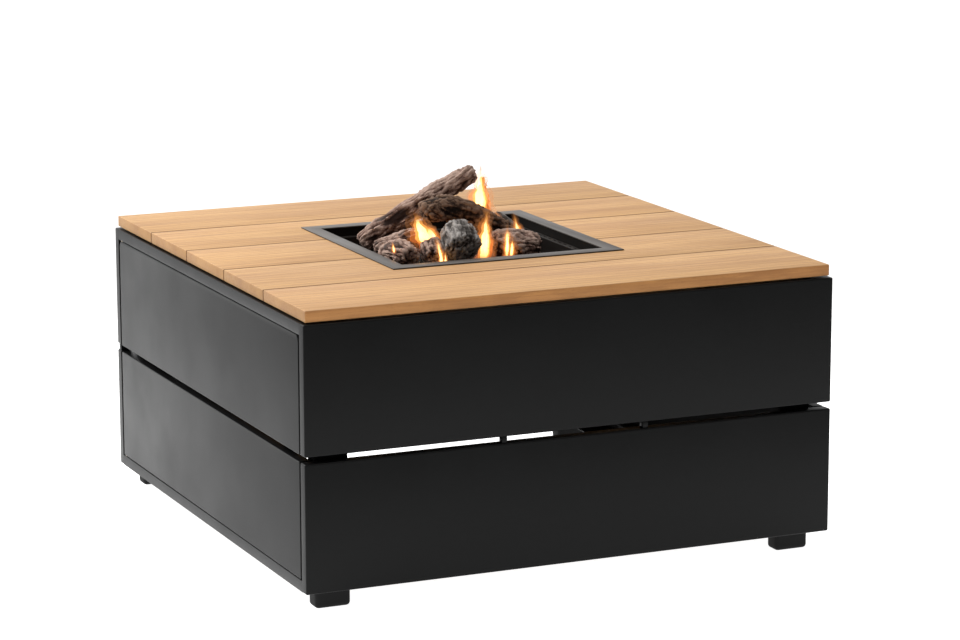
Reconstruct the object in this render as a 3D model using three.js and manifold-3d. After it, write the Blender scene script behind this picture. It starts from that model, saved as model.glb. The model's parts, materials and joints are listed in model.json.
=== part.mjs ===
// A square gas fire table: two folded-sheet shells one above the other with a finger gap between them, a teak
// plank top, a drop-in log burner with a grate, a hinged side door to the gas bottle, and recessed controls.
// Millimetres. +Z is up, the floor is z = 0, +X is the right-hand side and -Y the front.
import * as THREE from "three";
import { mergeVertices } from "three/addons/utils/BufferGeometryUtils.js";
import { RoundedBoxGeometry } from "three/addons/geometries/RoundedBoxGeometry.js";
import Module from "manifold-3d";

const wasm = await Module();
wasm.setup();

// ---------------------------------------------------------------- driving dimensions
const BODY_WIDTH = 1000; // along X
const BODY_DEPTH = 1000; // along Y
const FOOT_HEIGHT = 35;
const FOOT_WIDTH = 64; // along X
const FOOT_DEPTH = 35; // along Y
const FOOT_INSET = 27;
const FOOT_ROUND = 7;
const FOOT_PLUG_WIDTH = 40;
const FOOT_PLUG_DEPTH = 24;
const FOOT_PLUG_REACH = 20; // how far the plug stands up into its post
const SHELL_HEIGHT = 225;
const SHELL_GAP = 12; // open joint between the lower and the upper shell
const WALL_DEPTH = 20; // depth of a folded wall, from its outer face to the edge of its returns
const SHEET = 2;
const EDGE_ROUND = 2;
const SEAM = 1.5; // shadow joint above and below the door and the side panels
const SIDE_SEAM = 6; // shadow joint at their two ends
const TOUCH = 0.3; // gap kept between pieces that rest on each other
const POST_WIDTH = 60; // along X
const POST_DEPTH = 34; // along Y
const POST_WALL = 2;
const POST_SETBACK = 8; // between the walls' returns and the posts; the door's heel swings into it
const BASE_FLANGE = 28; // inward flange of the two base rails
const CLOSED_SIDE_FLANGE = 57; // the side without a door has room for a wider one
const LUG_WIDTH = 10;
const LUG_DEPTH = 12;
const LUG_FROM_MIDDLE = 134;
const CORNER_LUG_WIDTH = 20; // the back wall also has a lug at each corner
const TOP_SHADOW = 3; // shadow gap between the upper shell and the planks
const TOP_INSET = 5;
const PLANK_THICKNESS = 20;
const PLANK_COUNT = 5;
const PLANK_GAP = 2;
const PLANK_ROUND = 1.5;
const BATTEN_WIDTH = 30;
const BATTEN_THICKNESS = 15;

const BURNER_FLANGE = 450; // outer edge of the black frame that lies on the planks
const BURNER_OPENING = 392; // clear opening inside that frame
const CUTOUT_CLEARANCE = 2;
const SKIRT_DEPTH = 110;
const LEDGE_DROP = 20; // from the top of the frame down to the ledge that carries the pan
const LEDGE_WIDTH = 12;
const PAN_DEPTH = 80;
const PAN_CLEARANCE = 1;
const MIXER_HOLE = 12;
const TUBE_RADIUS = 8;
const TUBE_LIFT = 4;
const TUBE_SPREAD = 0.62; // half the side tubes' spacing, as a share of the pan's half width
const SPARK_FROM_MIDDLE = 62;
const SPARK_FROM_TUBE = 24;
const SPARK_TO_PROBE = 22;
const GRATE_BAR = 3; // radius of a grate bar
const GRATE_HEIGHT = 29; // from the pan's floor to the middle of the bars
const GRATE_SPACING = 32;
const GRATE_CLEARANCE = 5;
const BED_THICKNESS = 24;
const BED_BUMP = 4;

const DOOR_CORNER = 12; // at the top of the upper panel
const PLAIN_CORNER = 3; // at the door's other corners
const PIVOT_IN = 7; // from the door's outer face to the pivot axis
const PIVOT_FROM_EDGE = 7; // from the door's hinge edge to the pivot axis
const PIVOT_RADIUS = 4;
const PIVOT_REACH = 12; // length of pin inside the door and inside the rail
const STILE_WIDTH = 30;
const STILE_DEPTH = 12;
const STILE_FROM_EDGE = 112;
const CATCH_HEIGHT = 40;
const CATCH_WIDTH = 22;

const CONTROL_WIDTH = 190;
const CONTROL_HEIGHT = 110;
const CONTROL_DEPTH = 34;
const CONTROL_FROM_FRONT = 220;
const KNOB_RADIUS = 21;
const KNOB_HEIGHT = 22;
const KNOB_PRESS = 3;
const STEM_RADIUS = 4;
const BUTTON_RADIUS = 8.7;
const BUTTON_PRESS = 4;
const CONTROL_SPREAD = 45; // each control's distance from the middle of the recess
const LEAD_RADIUS = 1.6;
const PIPE_RADIUS = 5;
const END_GAP = 1; // between the end of a pipe or lead and what it is joined to

// ---------------------------------------------------------------- levels and edges worked out from them
const right = BODY_WIDTH / 2;
const back = BODY_DEPTH / 2;
const lowerBottom = FOOT_HEIGHT;
const lowerTop = lowerBottom + SHELL_HEIGHT;
const upperBottom = lowerTop + SHELL_GAP;
const upperTop = upperBottom + SHELL_HEIGHT;
const plankBottom = upperTop + TOP_SHADOW;
const plankTop = plankBottom + PLANK_THICKNESS;
const postOuter = WALL_DEPTH + POST_SETBACK; // from the body's outer face to the post
const postInnerX = postOuter + POST_WIDTH;
const postInnerY = postOuter + POST_DEPTH;
const panelTop = upperTop - WALL_DEPTH - SEAM; // top edge of the door and of the fixed side panel
const panelBottom = lowerBottom + WALL_DEPTH + SEAM;
const panelEnd = back - WALL_DEPTH - SIDE_SEAM; // half length of the door and of the side panel
const frameTop = plankTop + TOUCH + SHEET;
const ledgeTop = frameTop - LEDGE_DROP;
const skirtHalf = BURNER_OPENING / 2 + SHEET;
const cutHalf = skirtHalf + CUTOUT_CLEARANCE;
const panTop = ledgeTop + TOUCH + SHEET;
const panBottom = panTop - PAN_DEPTH;
const panFloor = panBottom + SHEET;
const panOuter = BURNER_OPENING / 2 - LEDGE_WIDTH - PAN_CLEARANCE;
const panInner = panOuter - SHEET;
const grateLevel = panFloor + GRATE_HEIGHT;
const bedBottom = grateLevel + GRATE_BAR + TOUCH;
const bedTop = bedBottom + BED_THICKNESS;
const pivotX = -right + PIVOT_IN;
const pivotY = panelEnd - PIVOT_FROM_EDGE;

// ---------------------------------------------------------------- finishes
const finish = (colour, roughness, metalness = 0) =>
  new THREE.MeshStandardMaterial({ color: colour, roughness, metalness });
const powderCoat = finish(0x1b1c1c, 0.45);
const insideCoat = finish(0x161616, 0.6);
const teak = finish(0xd9ab78, 0.6);
const rubber = finish(0x101010, 0.8);
const burnerBlack = finish(0x2a2a28, 0.5, 0.2);
const steel = finish(0x8d8a85, 0.35, 1);
const brass = finish(0xb08d4a, 0.35, 1);
const bark = finish(0x5b4a40, 0.95);
const char = finish(0x2a2523, 0.95);
const ash = finish(0x77736c, 0.95);
const lava = finish(0x3a2c28, 1);
const plastic = finish(0x141414, 0.4);
const ceramic = finish(0xe8e4da, 0.3);

// ---------------------------------------------------------------- solids
function solidOf(geometry) {
  const bare = geometry.clone();
  bare.deleteAttribute("normal");
  bare.deleteAttribute("uv");
  const merged = mergeVertices(bare, 1e-4);
  return new wasm.Manifold(
    new wasm.Mesh({
      numProp: 3,
      vertProperties: merged.attributes.position.array,
      triVerts: new Uint32Array(merged.index.array),
    }),
  );
}

function geometryOf(solid) {
  const mesh = solid.getMesh();
  const geometry = new THREE.BufferGeometry();
  geometry.setAttribute("position", new THREE.BufferAttribute(mesh.vertProperties, 3));
  geometry.setIndex(new THREE.BufferAttribute(mesh.triVerts, 1));
  geometry.computeVertexNormals();
  return geometry;
}

// A box between two corners; its edges are rounded when a radius is given.
function block([x0, y0, z0], [x1, y1, z1], radius = 0) {
  const size = [x1 - x0, y1 - y0, z1 - z0];
  const geometry = radius > 0 ? new RoundedBoxGeometry(...size, 1, radius) : new THREE.BoxGeometry(...size);
  return solidOf(geometry.translate((x0 + x1) / 2, (y0 + y1) / 2, (z0 + z1) / 2));
}

// A round rod between two points.
function rod(from, to, radius, sides = 20) {
  const a = new THREE.Vector3(...from);
  const b = new THREE.Vector3(...to);
  const geometry = new THREE.CylinderGeometry(radius, radius, a.distanceTo(b), sides);
  const turn = new THREE.Quaternion().setFromUnitVectors(
    new THREE.Vector3(0, 1, 0),
    b.clone().sub(a).normalize(),
  );
  geometry.applyQuaternion(turn);
  const middle = a.add(b).multiplyScalar(0.5);
  return solidOf(geometry.translate(middle.x, middle.y, middle.z));
}

function ball(centre, radius, segments = 12) {
  return solidOf(new THREE.SphereGeometry(radius, segments, segments).translate(...centre));
}

const join = (...solids) => solids.reduce((all, next) => all.add(next));

// A square ring about the Z axis, given by its half widths.
function squareRing(outer, inner, z0, z1) {
  return block([-outer, -outer, z0], [outer, outer, z1]).subtract(
    block([-inner, -inner, z0 - 1], [inner, inner, z1 + 1]),
  );
}

// A folded-sheet tray: a box with one side open. The open side is named by its axis and sign.
function tray([x0, y0, z0], [x1, y1, z1], openAxis, openSign, radius = EDGE_ROUND) {
  const low = [x0 + SHEET, y0 + SHEET, z0 + SHEET];
  const high = [x1 - SHEET, y1 - SHEET, z1 - SHEET];
  if (openSign > 0) high[openAxis] += WALL_DEPTH;
  else low[openAxis] -= WALL_DEPTH;
  return block([x0, y0, z0], [x1, y1, z1], radius).subtract(block(low, high));
}

// A square tube along one axis, open at both ends.
function squareTube([x0, y0, z0], [x1, y1, z1], axis, wall) {
  const low = [x0 + wall, y0 + wall, z0 + wall];
  const high = [x1 - wall, y1 - wall, z1 - wall];
  low[axis] -= 2 * wall;
  high[axis] += 2 * wall;
  return block([x0, y0, z0], [x1, y1, z1]).subtract(block(low, high));
}

// A round pipe or lead that follows a smooth curve through its points.
function runThrough(points, radius, sides, steps) {
  const section = new THREE.Shape();
  for (let i = 0; i < sides; i++) {
    const angle = (2 * Math.PI * i) / sides;
    const place = [radius * Math.cos(angle), radius * Math.sin(angle)];
    if (i === 0) section.moveTo(...place);
    else section.lineTo(...place);
  }
  const path = new THREE.CatmullRomCurve3(points.map((p) => new THREE.Vector3(...p)));
  return solidOf(new THREE.ExtrudeGeometry(section, { steps, extrudePath: path, bevelEnabled: false }));
}

// ---------------------------------------------------------------- the assembly
const fireTable = new THREE.Group();

function add(name, solid, material) {
  const mesh = new THREE.Mesh(geometryOf(solid), material);
  mesh.name = name;
  fireTable.add(mesh);
}

const sides = [
  ["left", -1],
  ["right", 1],
];
const ends = [
  ["front", -1],
  ["back", 1],
];

// A box near one corner of the body. The two signs name the corner; the reaches are pairs of distances from its
// outer faces, along X and along Y.
function cornerBlock([signX, signY], reachX, reachY, z0, z1, radius) {
  const xs = reachX.map((reach) => signX * (right - reach)).sort((a, b) => a - b);
  const ys = reachY.map((reach) => signY * (back - reach)).sort((a, b) => a - b);
  return block([xs[0], ys[0], z0], [xs[1], ys[1], z1], radius);
}

// Four rectangular posts tie the shells together and carry the planks; each stands on a rubber foot.
const postTop = plankBottom - TOUCH;
const boreX = [postOuter + POST_WALL, postInnerX - POST_WALL];
const boreY = [postOuter + POST_WALL, postInnerY - POST_WALL];
const plugX = [(postOuter + postInnerX - FOOT_PLUG_WIDTH) / 2, (postOuter + postInnerX + FOOT_PLUG_WIDTH) / 2];
const plugY = [(postOuter + postInnerY - FOOT_PLUG_DEPTH) / 2, (postOuter + postInnerY + FOOT_PLUG_DEPTH) / 2];
for (const [endName, signY] of ends)
  for (const [sideName, signX] of sides) {
    const corner = [signX, signY];
    const tube = cornerBlock(corner, [postOuter, postInnerX], [postOuter, postInnerY], lowerBottom, postTop);
    const bore = cornerBlock(corner, boreX, boreY, lowerBottom - 1, postTop + 1);
    add(`corner_post_${endName}_${sideName}`, tube.subtract(bore), insideCoat);

    const footX = [FOOT_INSET, FOOT_INSET + FOOT_WIDTH];
    const footY = [FOOT_INSET, FOOT_INSET + FOOT_DEPTH];
    const foot = join(
      cornerBlock(corner, footX, footY, 0, FOOT_HEIGHT - TOUCH, FOOT_ROUND),
      cornerBlock(corner, plugX, plugY, FOOT_HEIGHT - FOOT_ROUND, FOOT_HEIGHT + FOOT_PLUG_REACH),
    );
    add(`foot_${endName}_${sideName}`, foot, rubber);
  }

// The front and back walls of both shells are folded trays that reach round the corners.
for (const [endName, signY] of ends) {
  const outer = signY * back;
  const inner = signY * (back - WALL_DEPTH);
  const low = Math.min(outer, inner);
  const high = Math.max(outer, inner);
  const wall = (z0, z1) => tray([-right, low, z0], [right, high, z1], 1, -signY);
  const lugAt = (x, width) =>
    block(
      [x - width / 2, (low + high - LUG_DEPTH) / 2, lowerTop - SHEET / 2],
      [x + width / 2, (low + high + LUG_DEPTH) / 2, upperBottom - TOUCH],
    );
  const lugs = [-1, 1].map((sign) => lugAt(sign * LUG_FROM_MIDDLE, LUG_WIDTH));
  const cornerX = right - SHEET - CORNER_LUG_WIDTH / 2;
  if (signY > 0) lugs.push(...[-1, 1].map((sign) => lugAt(sign * cornerX, CORNER_LUG_WIDTH)));
  add(`lower_${endName}_panel`, join(wall(lowerBottom, lowerTop), ...lugs), powderCoat);
  add(`upper_${endName}_panel`, wall(upperBottom, upperTop), powderCoat);
}

// Square-tube rails close the two sides at the top and at the base.
const pinHole = (z0, z1) => rod([pivotX, pivotY, z0], [pivotX, pivotY, z1], PIVOT_RADIUS + TOUCH);
for (const [sideName, signX] of sides) {
  const outer = signX * right;
  const inner = signX * (right - WALL_DEPTH);
  const low = Math.min(outer, inner);
  const high = Math.max(outer, inner);
  const end = back - WALL_DEPTH - TOUCH;
  const rail = (z0) => squareTube([low, -end, z0], [high, end, z0 + WALL_DEPTH], 1, SHEET);
  let topRail = rail(upperTop - WALL_DEPTH);
  const flangeReach = signX < 0 ? BASE_FLANGE : CLOSED_SIDE_FLANGE;
  const flangeXs = [inner + signX * SHEET, inner - signX * flangeReach].sort((a, b) => a - b);
  const flangeEnd = back - postInnerY - TOUCH;
  const flange = block(
    [flangeXs[0], -flangeEnd, lowerBottom],
    [flangeXs[1], flangeEnd, lowerBottom + SHEET],
  );
  let baseRail = join(rail(lowerBottom), flange);
  if (signX < 0) {
    topRail = topRail.subtract(pinHole(panelTop, upperTop - WALL_DEPTH / 2));
    baseRail = baseRail.subtract(pinHole(lowerBottom + WALL_DEPTH / 2, panelBottom));
  }
  add(`${sideName}_top_rail`, topRail, powderCoat);
  add(`${sideName}_base_rail`, baseRail, powderCoat);
}

// ---------------------------------------------------------------- teak top
const topRight = right - TOP_INSET;
const topBack = back - TOP_INSET;
const plankPitch = (2 * topBack + PLANK_GAP) / PLANK_COUNT;
const cutout = block([-cutHalf, -cutHalf, plankBottom - 1], [cutHalf, cutHalf, plankTop + 1]);
for (let i = 0; i < PLANK_COUNT; i++) {
  const y0 = -topBack + i * plankPitch;
  const y1 = y0 + plankPitch - PLANK_GAP;
  const plank = (x0, x1) => block([x0, y0, plankBottom], [x1, y1, plankTop], PLANK_ROUND);
  const crossesWholeCutout = y0 > -cutHalf && y1 < cutHalf;
  if (crossesWholeCutout) {
    add(`plank_${i + 1}_left`, plank(-topRight, -cutHalf), teak);
    add(`plank_${i + 1}_right`, plank(cutHalf, topRight), teak);
  } else {
    add(`plank_${i + 1}`, plank(-topRight, topRight).subtract(cutout), teak);
  }
}

// Battens under the planks, two on each side of the burner.
const battenPlaces = [cutHalf + 2 * BATTEN_WIDTH, right - postInnerX - BATTEN_WIDTH];
for (const [sideName, signX] of sides)
  for (const [place, x] of [
    ["inner", battenPlaces[0]],
    ["outer", battenPlaces[1]],
  ]) {
    const batten = block(
      [signX * x - BATTEN_WIDTH / 2, -panelEnd, plankBottom - TOUCH - BATTEN_THICKNESS],
      [signX * x + BATTEN_WIDTH / 2, panelEnd, plankBottom - TOUCH],
    );
    add(`batten_${sideName}_${place}`, batten, teak);
  }

// ---------------------------------------------------------------- burner
// The black frame lies on the planks; its skirt drops through them and its ledge carries the pan.
const openingHalf = BURNER_OPENING / 2;
add(
  "burner_frame",
  join(
    squareRing(BURNER_FLANGE / 2, openingHalf, plankTop + TOUCH, frameTop),
    squareRing(skirtHalf, openingHalf, frameTop - SKIRT_DEPTH, frameTop),
    squareRing(skirtHalf, openingHalf - LEDGE_WIDTH, ledgeTop - SHEET, ledgeTop),
  ),
  burnerBlack,
);

// The spark electrode and the flame probe stand side by side in front of the rear cross tube.
const ringHalf = panInner * TUBE_SPREAD;
const pilot = { x: SPARK_FROM_MIDDLE, y: ringHalf - SPARK_FROM_TUBE };
const probe = { x: SPARK_FROM_MIDDLE - SPARK_TO_PROBE, y: pilot.y };
add(
  "burner_pan",
  join(
    squareRing(openingHalf - PAN_CLEARANCE, panInner, ledgeTop + TOUCH, panTop),
    squareRing(panOuter, panInner, panBottom, panTop),
    block([-panOuter, -panOuter, panBottom], [panOuter, panOuter, panFloor]),
  )
    .subtract(rod([0, 0, panBottom - 1], [0, 0, panFloor + 1], MIXER_HOLE))
    .subtract(rod([pilot.x, pilot.y, panBottom - 1], [pilot.x, pilot.y, panFloor + 1], 5))
    .subtract(rod([probe.x, probe.y, panBottom - 1], [probe.x, probe.y, panFloor + 1], 4)),
  burnerBlack,
);

// Two side tubes joined by three cross tubes; the inlet passes down through the pan's floor.
const tubeLevel = panFloor + TUBE_LIFT + TUBE_RADIUS;
const inletEnd = panBottom - 10;
const tubeSides = 14;
const crossRadius = TUBE_RADIUS - 1;
add(
  "burner_tube",
  join(
    ...[-1, 1].map((sign) => {
      const x = sign * ringHalf;
      const reach = ringHalf + 2 * TUBE_RADIUS;
      return rod([x, -reach, tubeLevel], [x, reach, tubeLevel], TUBE_RADIUS, tubeSides);
    }),
    ...[-ringHalf, 0, ringHalf].map((y) =>
      rod([-ringHalf, y, tubeLevel], [ringHalf, y, tubeLevel], crossRadius, tubeSides),
    ),
    rod([0, 0, inletEnd], [0, 0, tubeLevel], crossRadius - 1, tubeSides),
    rod([0, 0, panFloor + TOUCH], [0, 0, panFloor + TUBE_LIFT], MIXER_HOLE + 5),
  ),
  steel,
);

// The mixer draws in air below the pan and hands the gas to the tube's inlet.
const mixerTop = inletEnd - TOUCH;
const mixerLength = 42;
const mixerBottom = mixerTop - mixerLength;
const mixerRadius = 13;
const nozzleLevel = mixerBottom + 12;
const airHoles = [0, 90].map((degrees) => {
  const angle = THREE.MathUtils.degToRad(degrees + 45);
  const reach = mixerRadius + 2;
  const dx = reach * Math.cos(angle);
  const dy = reach * Math.sin(angle);
  return rod([-dx, -dy, mixerTop - 14], [dx, dy, mixerTop - 14], 3.5, 12);
});
add(
  "air_mixer",
  airHoles.reduce(
    (body, hole) => body.subtract(hole),
    join(
      rod([0, 0, mixerBottom], [0, 0, mixerTop], mixerRadius),
      rod([0, 0, nozzleLevel], [mixerRadius + 12, 0, nozzleLevel], PIPE_RADIUS + 2, 6),
    ),
  ),
  brass,
);

// Welded round bars on four legs: the grate that carries the stones and the logs above the tube.
const grateHalf = panInner - GRATE_CLEARANCE - GRATE_BAR;
const barSides = 8;
const barCount = 2 * Math.floor(grateHalf / GRATE_SPACING) + 1;
const grateBars = [];
for (let i = 0; i < barCount; i++) {
  const y = (i - (barCount - 1) / 2) * GRATE_SPACING;
  grateBars.push(rod([-grateHalf, y, grateLevel], [grateHalf, y, grateLevel], GRATE_BAR, barSides));
}
const grateEdges = [-1, 1].flatMap((sign) => [
  rod([sign * grateHalf, -grateHalf, grateLevel], [sign * grateHalf, grateHalf, grateLevel], GRATE_BAR, barSides),
  rod([-grateHalf, sign * grateHalf, grateLevel], [grateHalf, sign * grateHalf, grateLevel], GRATE_BAR, barSides),
]);
const grateLegs = [-1, 1].flatMap((signX) =>
  [-1, 1].map((signY) => {
    const x = signX * grateHalf;
    const y = signY * grateHalf;
    return join(
      rod([x, y, panFloor + TOUCH], [x, y, grateLevel], GRATE_BAR, barSides),
      ball([x, y, grateLevel], GRATE_BAR, barSides),
    );
  }),
);
add("grate", join(...grateBars, ...grateEdges, ...grateLegs), steel);

// A layer of lava stones, as one slab with a lumpy top.
function lumpyBed() {
  const half = panInner - GRATE_CLEARANCE;
  const cells = 10;
  const geometry = new THREE.BoxGeometry(2 * half, 2 * half, BED_THICKNESS, cells, cells, 1);
  const place = geometry.attributes.position;
  for (let i = 0; i < place.count; i++) {
    if (place.getZ(i) < 0) continue;
    const wave = Math.sin(place.getX(i) * 0.11 + 1) * Math.sin(place.getY(i) * 0.09 + 2);
    place.setZ(i, BED_THICKNESS / 2 - BED_BUMP * (1 - wave));
  }
  return solidOf(geometry.translate(0, 0, (bedBottom + bedTop) / 2));
}
add("lava_stone_bed", lumpyBed(), lava);

// ---------------------------------------------------------------- the log set
// A log is a capsule bent along a curve. Its points are in the burner's own millimetres: x and y from the
// middle, z above the stones; the whole set grows and shrinks with the pan.
const logScale = panInner / 181;

function log(points, startRadius, endRadius, roundness = 0.5) {
  const curve = new THREE.CatmullRomCurve3(
    points.map(([x, y, z]) => new THREE.Vector3(x * logScale, y * logScale, bedTop + z * logScale)),
  );
  const geometry = new THREE.CapsuleGeometry(1, 1, 2, 10, 6);
  const place = geometry.attributes.position;
  const up = new THREE.Vector3(0, 0, 1);
  for (let i = 0; i < place.count; i++) {
    const along = THREE.MathUtils.clamp(place.getY(i) + 0.5, 0, 1);
    const beyond = place.getY(i) + 0.5 - along;
    const tangent = curve.getTangent(along);
    const side = new THREE.Vector3().crossVectors(tangent, up).normalize();
    const over = new THREE.Vector3().crossVectors(side, tangent);
    const radius = logScale * THREE.MathUtils.lerp(startRadius, endRadius, along);
    const point = curve
      .getPoint(along)
      .addScaledVector(side, place.getX(i) * radius)
      .addScaledVector(over, place.getZ(i) * radius)
      .addScaledVector(tangent, beyond * roundness * radius);
    place.setXYZ(i, point.x, point.y, point.z);
  }
  const made = solidOf(geometry);
  if (made.volume() > 0) return made;
  const index = geometry.index.array;
  for (let i = 0; i < index.length; i += 3) [index[i + 1], index[i + 2]] = [index[i + 2], index[i + 1]];
  return solidOf(geometry);
}

add("log_long", log([[-152, 96, 26], [-110, 72, 61], [-62, 46, 97], [-26, 28, 123], [30, 4, 157]], 20, 17), bark);
add("log_cross", log([[-84, -28, 98], [-44, -28, 103], [8, -18, 90], [70, 0, 58], [130, 16, 22]], 22, 16), char);
add("log_stump", log([[-35, -68, 66], [-41, -94, 52], [-42, -114, 40]], 31, 32), ash);
add("log_left_back", log([[-146, 44, 22], [-112, 20, 36], [-84, 0, 50]], 17, 16), bark);
add("log_left_front", log([[-150, -20, 24], [-144, -54, 32], [-138, -90, 26]], 22, 21), bark);
add("log_short", log([[-87, -70, 46], [-93, -98, 26]], 20, 20), bark);
add("log_right", log([[32, -72, 32], [72, -76, 35], [118, -86, 26]], 28, 23), bark);
add("log_back", log([[158, 80, 18], [124, 58, 44], [88, 38, 68]], 12, 11), ash);

// ---------------------------------------------------------------- recessed controls on the right-hand side
const controlY = -back + CONTROL_FROM_FRONT;
const controlZ = (upperBottom + panelTop) / 2;
const recessFloor = right - CONTROL_DEPTH; // back face of the recess's floor
const recessFace = recessFloor + SHEET;
const knobY = controlY - CONTROL_SPREAD;
const buttonY = controlY + CONTROL_SPREAD;
const alongX = (x0, x1, y, radius, facets) => rod([x0, y, controlZ], [x1, y, controlZ], radius, facets);

const recessOpening = (clearance) =>
  block(
    [recessFloor - 1, controlY - CONTROL_WIDTH / 2 - clearance, controlZ - CONTROL_HEIGHT / 2 - clearance],
    [right + 1, controlY + CONTROL_WIDTH / 2 + clearance, controlZ + CONTROL_HEIGHT / 2 + clearance],
  );
const sidePanel = (z0, z1) => tray([right - WALL_DEPTH, -panelEnd, z0], [right, panelEnd, z1], 0, -1);
add("lower_right_panel", sidePanel(panelBottom, lowerTop), powderCoat);
add("upper_right_panel", sidePanel(upperBottom, panelTop).subtract(recessOpening(TOUCH)), powderCoat);

add(
  "control_recess",
  block(
    [recessFloor, controlY - CONTROL_WIDTH / 2, controlZ - CONTROL_HEIGHT / 2],
    [right, controlY + CONTROL_WIDTH / 2, controlZ + CONTROL_HEIGHT / 2],
    1,
  )
    .subtract(
      block(
        [recessFace, controlY - CONTROL_WIDTH / 2 + SHEET, controlZ - CONTROL_HEIGHT / 2 + SHEET],
        [right + 1, controlY + CONTROL_WIDTH / 2 - SHEET, controlZ + CONTROL_HEIGHT / 2 - SHEET],
      ),
    )
    .subtract(alongX(recessFloor - 1, recessFace + 1, knobY, STEM_RADIUS + 2))
    .subtract(alongX(recessFloor - 1, recessFace + 1, buttonY, BUTTON_RADIUS + 2.6)),
  burnerBlack,
);

// The knob stands off the recess's floor by its own travel and a little more.
const knobBack = recessFace + KNOB_PRESS + 1;
const knobFront = knobBack + KNOB_HEIGHT;
const valveFront = recessFloor - TOUCH;
const valveDepth = 50;
const valveHalf = 20;
const stemBack = valveFront - 26;
const stemFront = knobBack + 12;
add(
  "gas_valve",
  join(
    block(
      [valveFront - valveDepth, knobY - valveHalf, controlZ - valveHalf],
      [valveFront, knobY + valveHalf, controlZ + valveHalf],
      2,
    ),
    rod([valveFront - 25, knobY, controlZ - valveHalf + 1], [valveFront - 25, knobY, controlZ - valveHalf - 12], 9, 6),
    rod([valveFront - 25, knobY, controlZ - valveHalf - 11], [valveFront - 25, knobY, controlZ - valveHalf - 38], 5),
    alongX(valveFront - valveDepth - 10, valveFront - valveDepth + 1, knobY, 8, 6),
  ).subtract(alongX(stemBack - KNOB_PRESS - 1, valveFront + 1, knobY, STEM_RADIUS + TOUCH)),
  brass,
);
add("valve_stem", alongX(stemBack, stemFront, knobY, STEM_RADIUS), steel);

const knobProfile = [
  [0, 0],
  [KNOB_RADIUS - 1, 0],
  [KNOB_RADIUS, 1],
  [KNOB_RADIUS - 1.5, KNOB_HEIGHT * 0.55],
  [KNOB_RADIUS - 3, KNOB_HEIGHT * 0.6],
  [0, KNOB_HEIGHT * 0.6],
].map(([r, h]) => new THREE.Vector2(r, h));
const knobDisc = solidOf(
  new THREE.LatheGeometry(knobProfile, 32)
    .rotateZ(-Math.PI / 2)
    .translate(knobBack, knobY, controlZ),
);
const knobGrip = block(
  [knobBack + KNOB_HEIGHT * 0.5, knobY - 4.5, controlZ - KNOB_RADIUS + 3],
  [knobFront, knobY + 4.5, controlZ + KNOB_RADIUS - 3],
  2,
);
add(
  "control_knob",
  join(knobDisc, knobGrip).subtract(alongX(knobBack - 1, stemFront + TOUCH, knobY, STEM_RADIUS + TOUCH)),
  plastic,
);

// The igniter: a barrel behind the floor, a neck through it, a bezel, and the button that slides inside.
const barrelBack = valveFront - 70;
const buttonBack = recessFloor - 12;
const buttonFront = recessFace + 12;
const boreBack = buttonBack - BUTTON_PRESS - 1;
add(
  "igniter_barrel",
  join(
    alongX(barrelBack, valveFront, buttonY, BUTTON_RADIUS + 5),
    alongX(valveFront - 1, recessFace + 5, buttonY, BUTTON_RADIUS + 2.3),
    alongX(recessFace + TOUCH, recessFace + 4, buttonY, BUTTON_RADIUS + 6),
  ).subtract(alongX(boreBack, recessFace + 6, buttonY, BUTTON_RADIUS + TOUCH)),
  plastic,
);
const buttonProfile = [
  [0, 0],
  [BUTTON_RADIUS, 0],
  [BUTTON_RADIUS, buttonFront - buttonBack - 1.5],
  [BUTTON_RADIUS - 1.5, buttonFront - buttonBack],
  [0, buttonFront - buttonBack],
].map(([r, h]) => new THREE.Vector2(r, h));
add(
  "igniter_button",
  solidOf(
    new THREE.LatheGeometry(buttonProfile, 32)
      .rotateZ(-Math.PI / 2)
      .translate(buttonBack, buttonY, controlZ),
  ),
  steel,
);

// Gas pipe, spark electrode with its lead, and the flame probe with its lead back to the valve.
const underPan = panBottom - 20;
add(
  "gas_pipe",
  runThrough(
    [
      [valveFront - valveDepth - 10 - END_GAP, knobY, controlZ],
      [valveFront - valveDepth - 40, knobY, controlZ],
      [(valveFront - valveDepth) * 0.7, knobY * 0.86, (controlZ + nozzleLevel) / 2],
      [right * 0.3, knobY * 0.36, nozzleLevel + 2],
      [right * 0.12, 0, nozzleLevel],
      [mixerRadius + 12 + END_GAP, 0, nozzleLevel],
    ],
    PIPE_RADIUS,
    10,
    30,
  ),
  steel,
);
add(
  "spark_electrode",
  join(
    rod([pilot.x, pilot.y, underPan], [pilot.x, pilot.y, panFloor + 12], 3.6, 16),
    rod([pilot.x, pilot.y, panFloor + 11], [pilot.x, pilot.y, panFloor + 20], 1.2, 8),
  ),
  ceramic,
);
const leadLevel = underPan - 12;
add(
  "igniter_lead",
  runThrough(
    [
      [barrelBack - END_GAP, buttonY, controlZ],
      [barrelBack - 20, buttonY, controlZ],
      [right * 0.55, buttonY * 0.5, leadLevel + 6],
      [right * 0.3, pilot.y * 0.6, leadLevel],
      [pilot.x + 18, pilot.y - 4, leadLevel],
      [pilot.x + 2, pilot.y, underPan - 8],
      [pilot.x, pilot.y, underPan - END_GAP],
    ],
    LEAD_RADIUS,
    6,
    40,
  ),
  rubber,
);
add(
  "flame_probe",
  join(
    rod([probe.x, probe.y, underPan], [probe.x, probe.y, panFloor + 20], 2.6, 12),
    runThrough(
      [
        [probe.x, probe.y, underPan + 1],
        [probe.x, probe.y - 3, underPan - 7],
        [probe.x + 8, probe.y - 24, leadLevel],
        [right * 0.3, pilot.y * -0.1, leadLevel],
        [right * 0.6, knobY * 0.66, (controlZ + leadLevel) / 2],
        [valveFront - valveDepth - 20, knobY + 14, controlZ + 12],
        [valveFront - valveDepth - END_GAP, knobY + 14, controlZ + 12],
      ],
      LEAD_RADIUS,
      6,
      40,
    ),
  ),
  brass,
);

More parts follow.
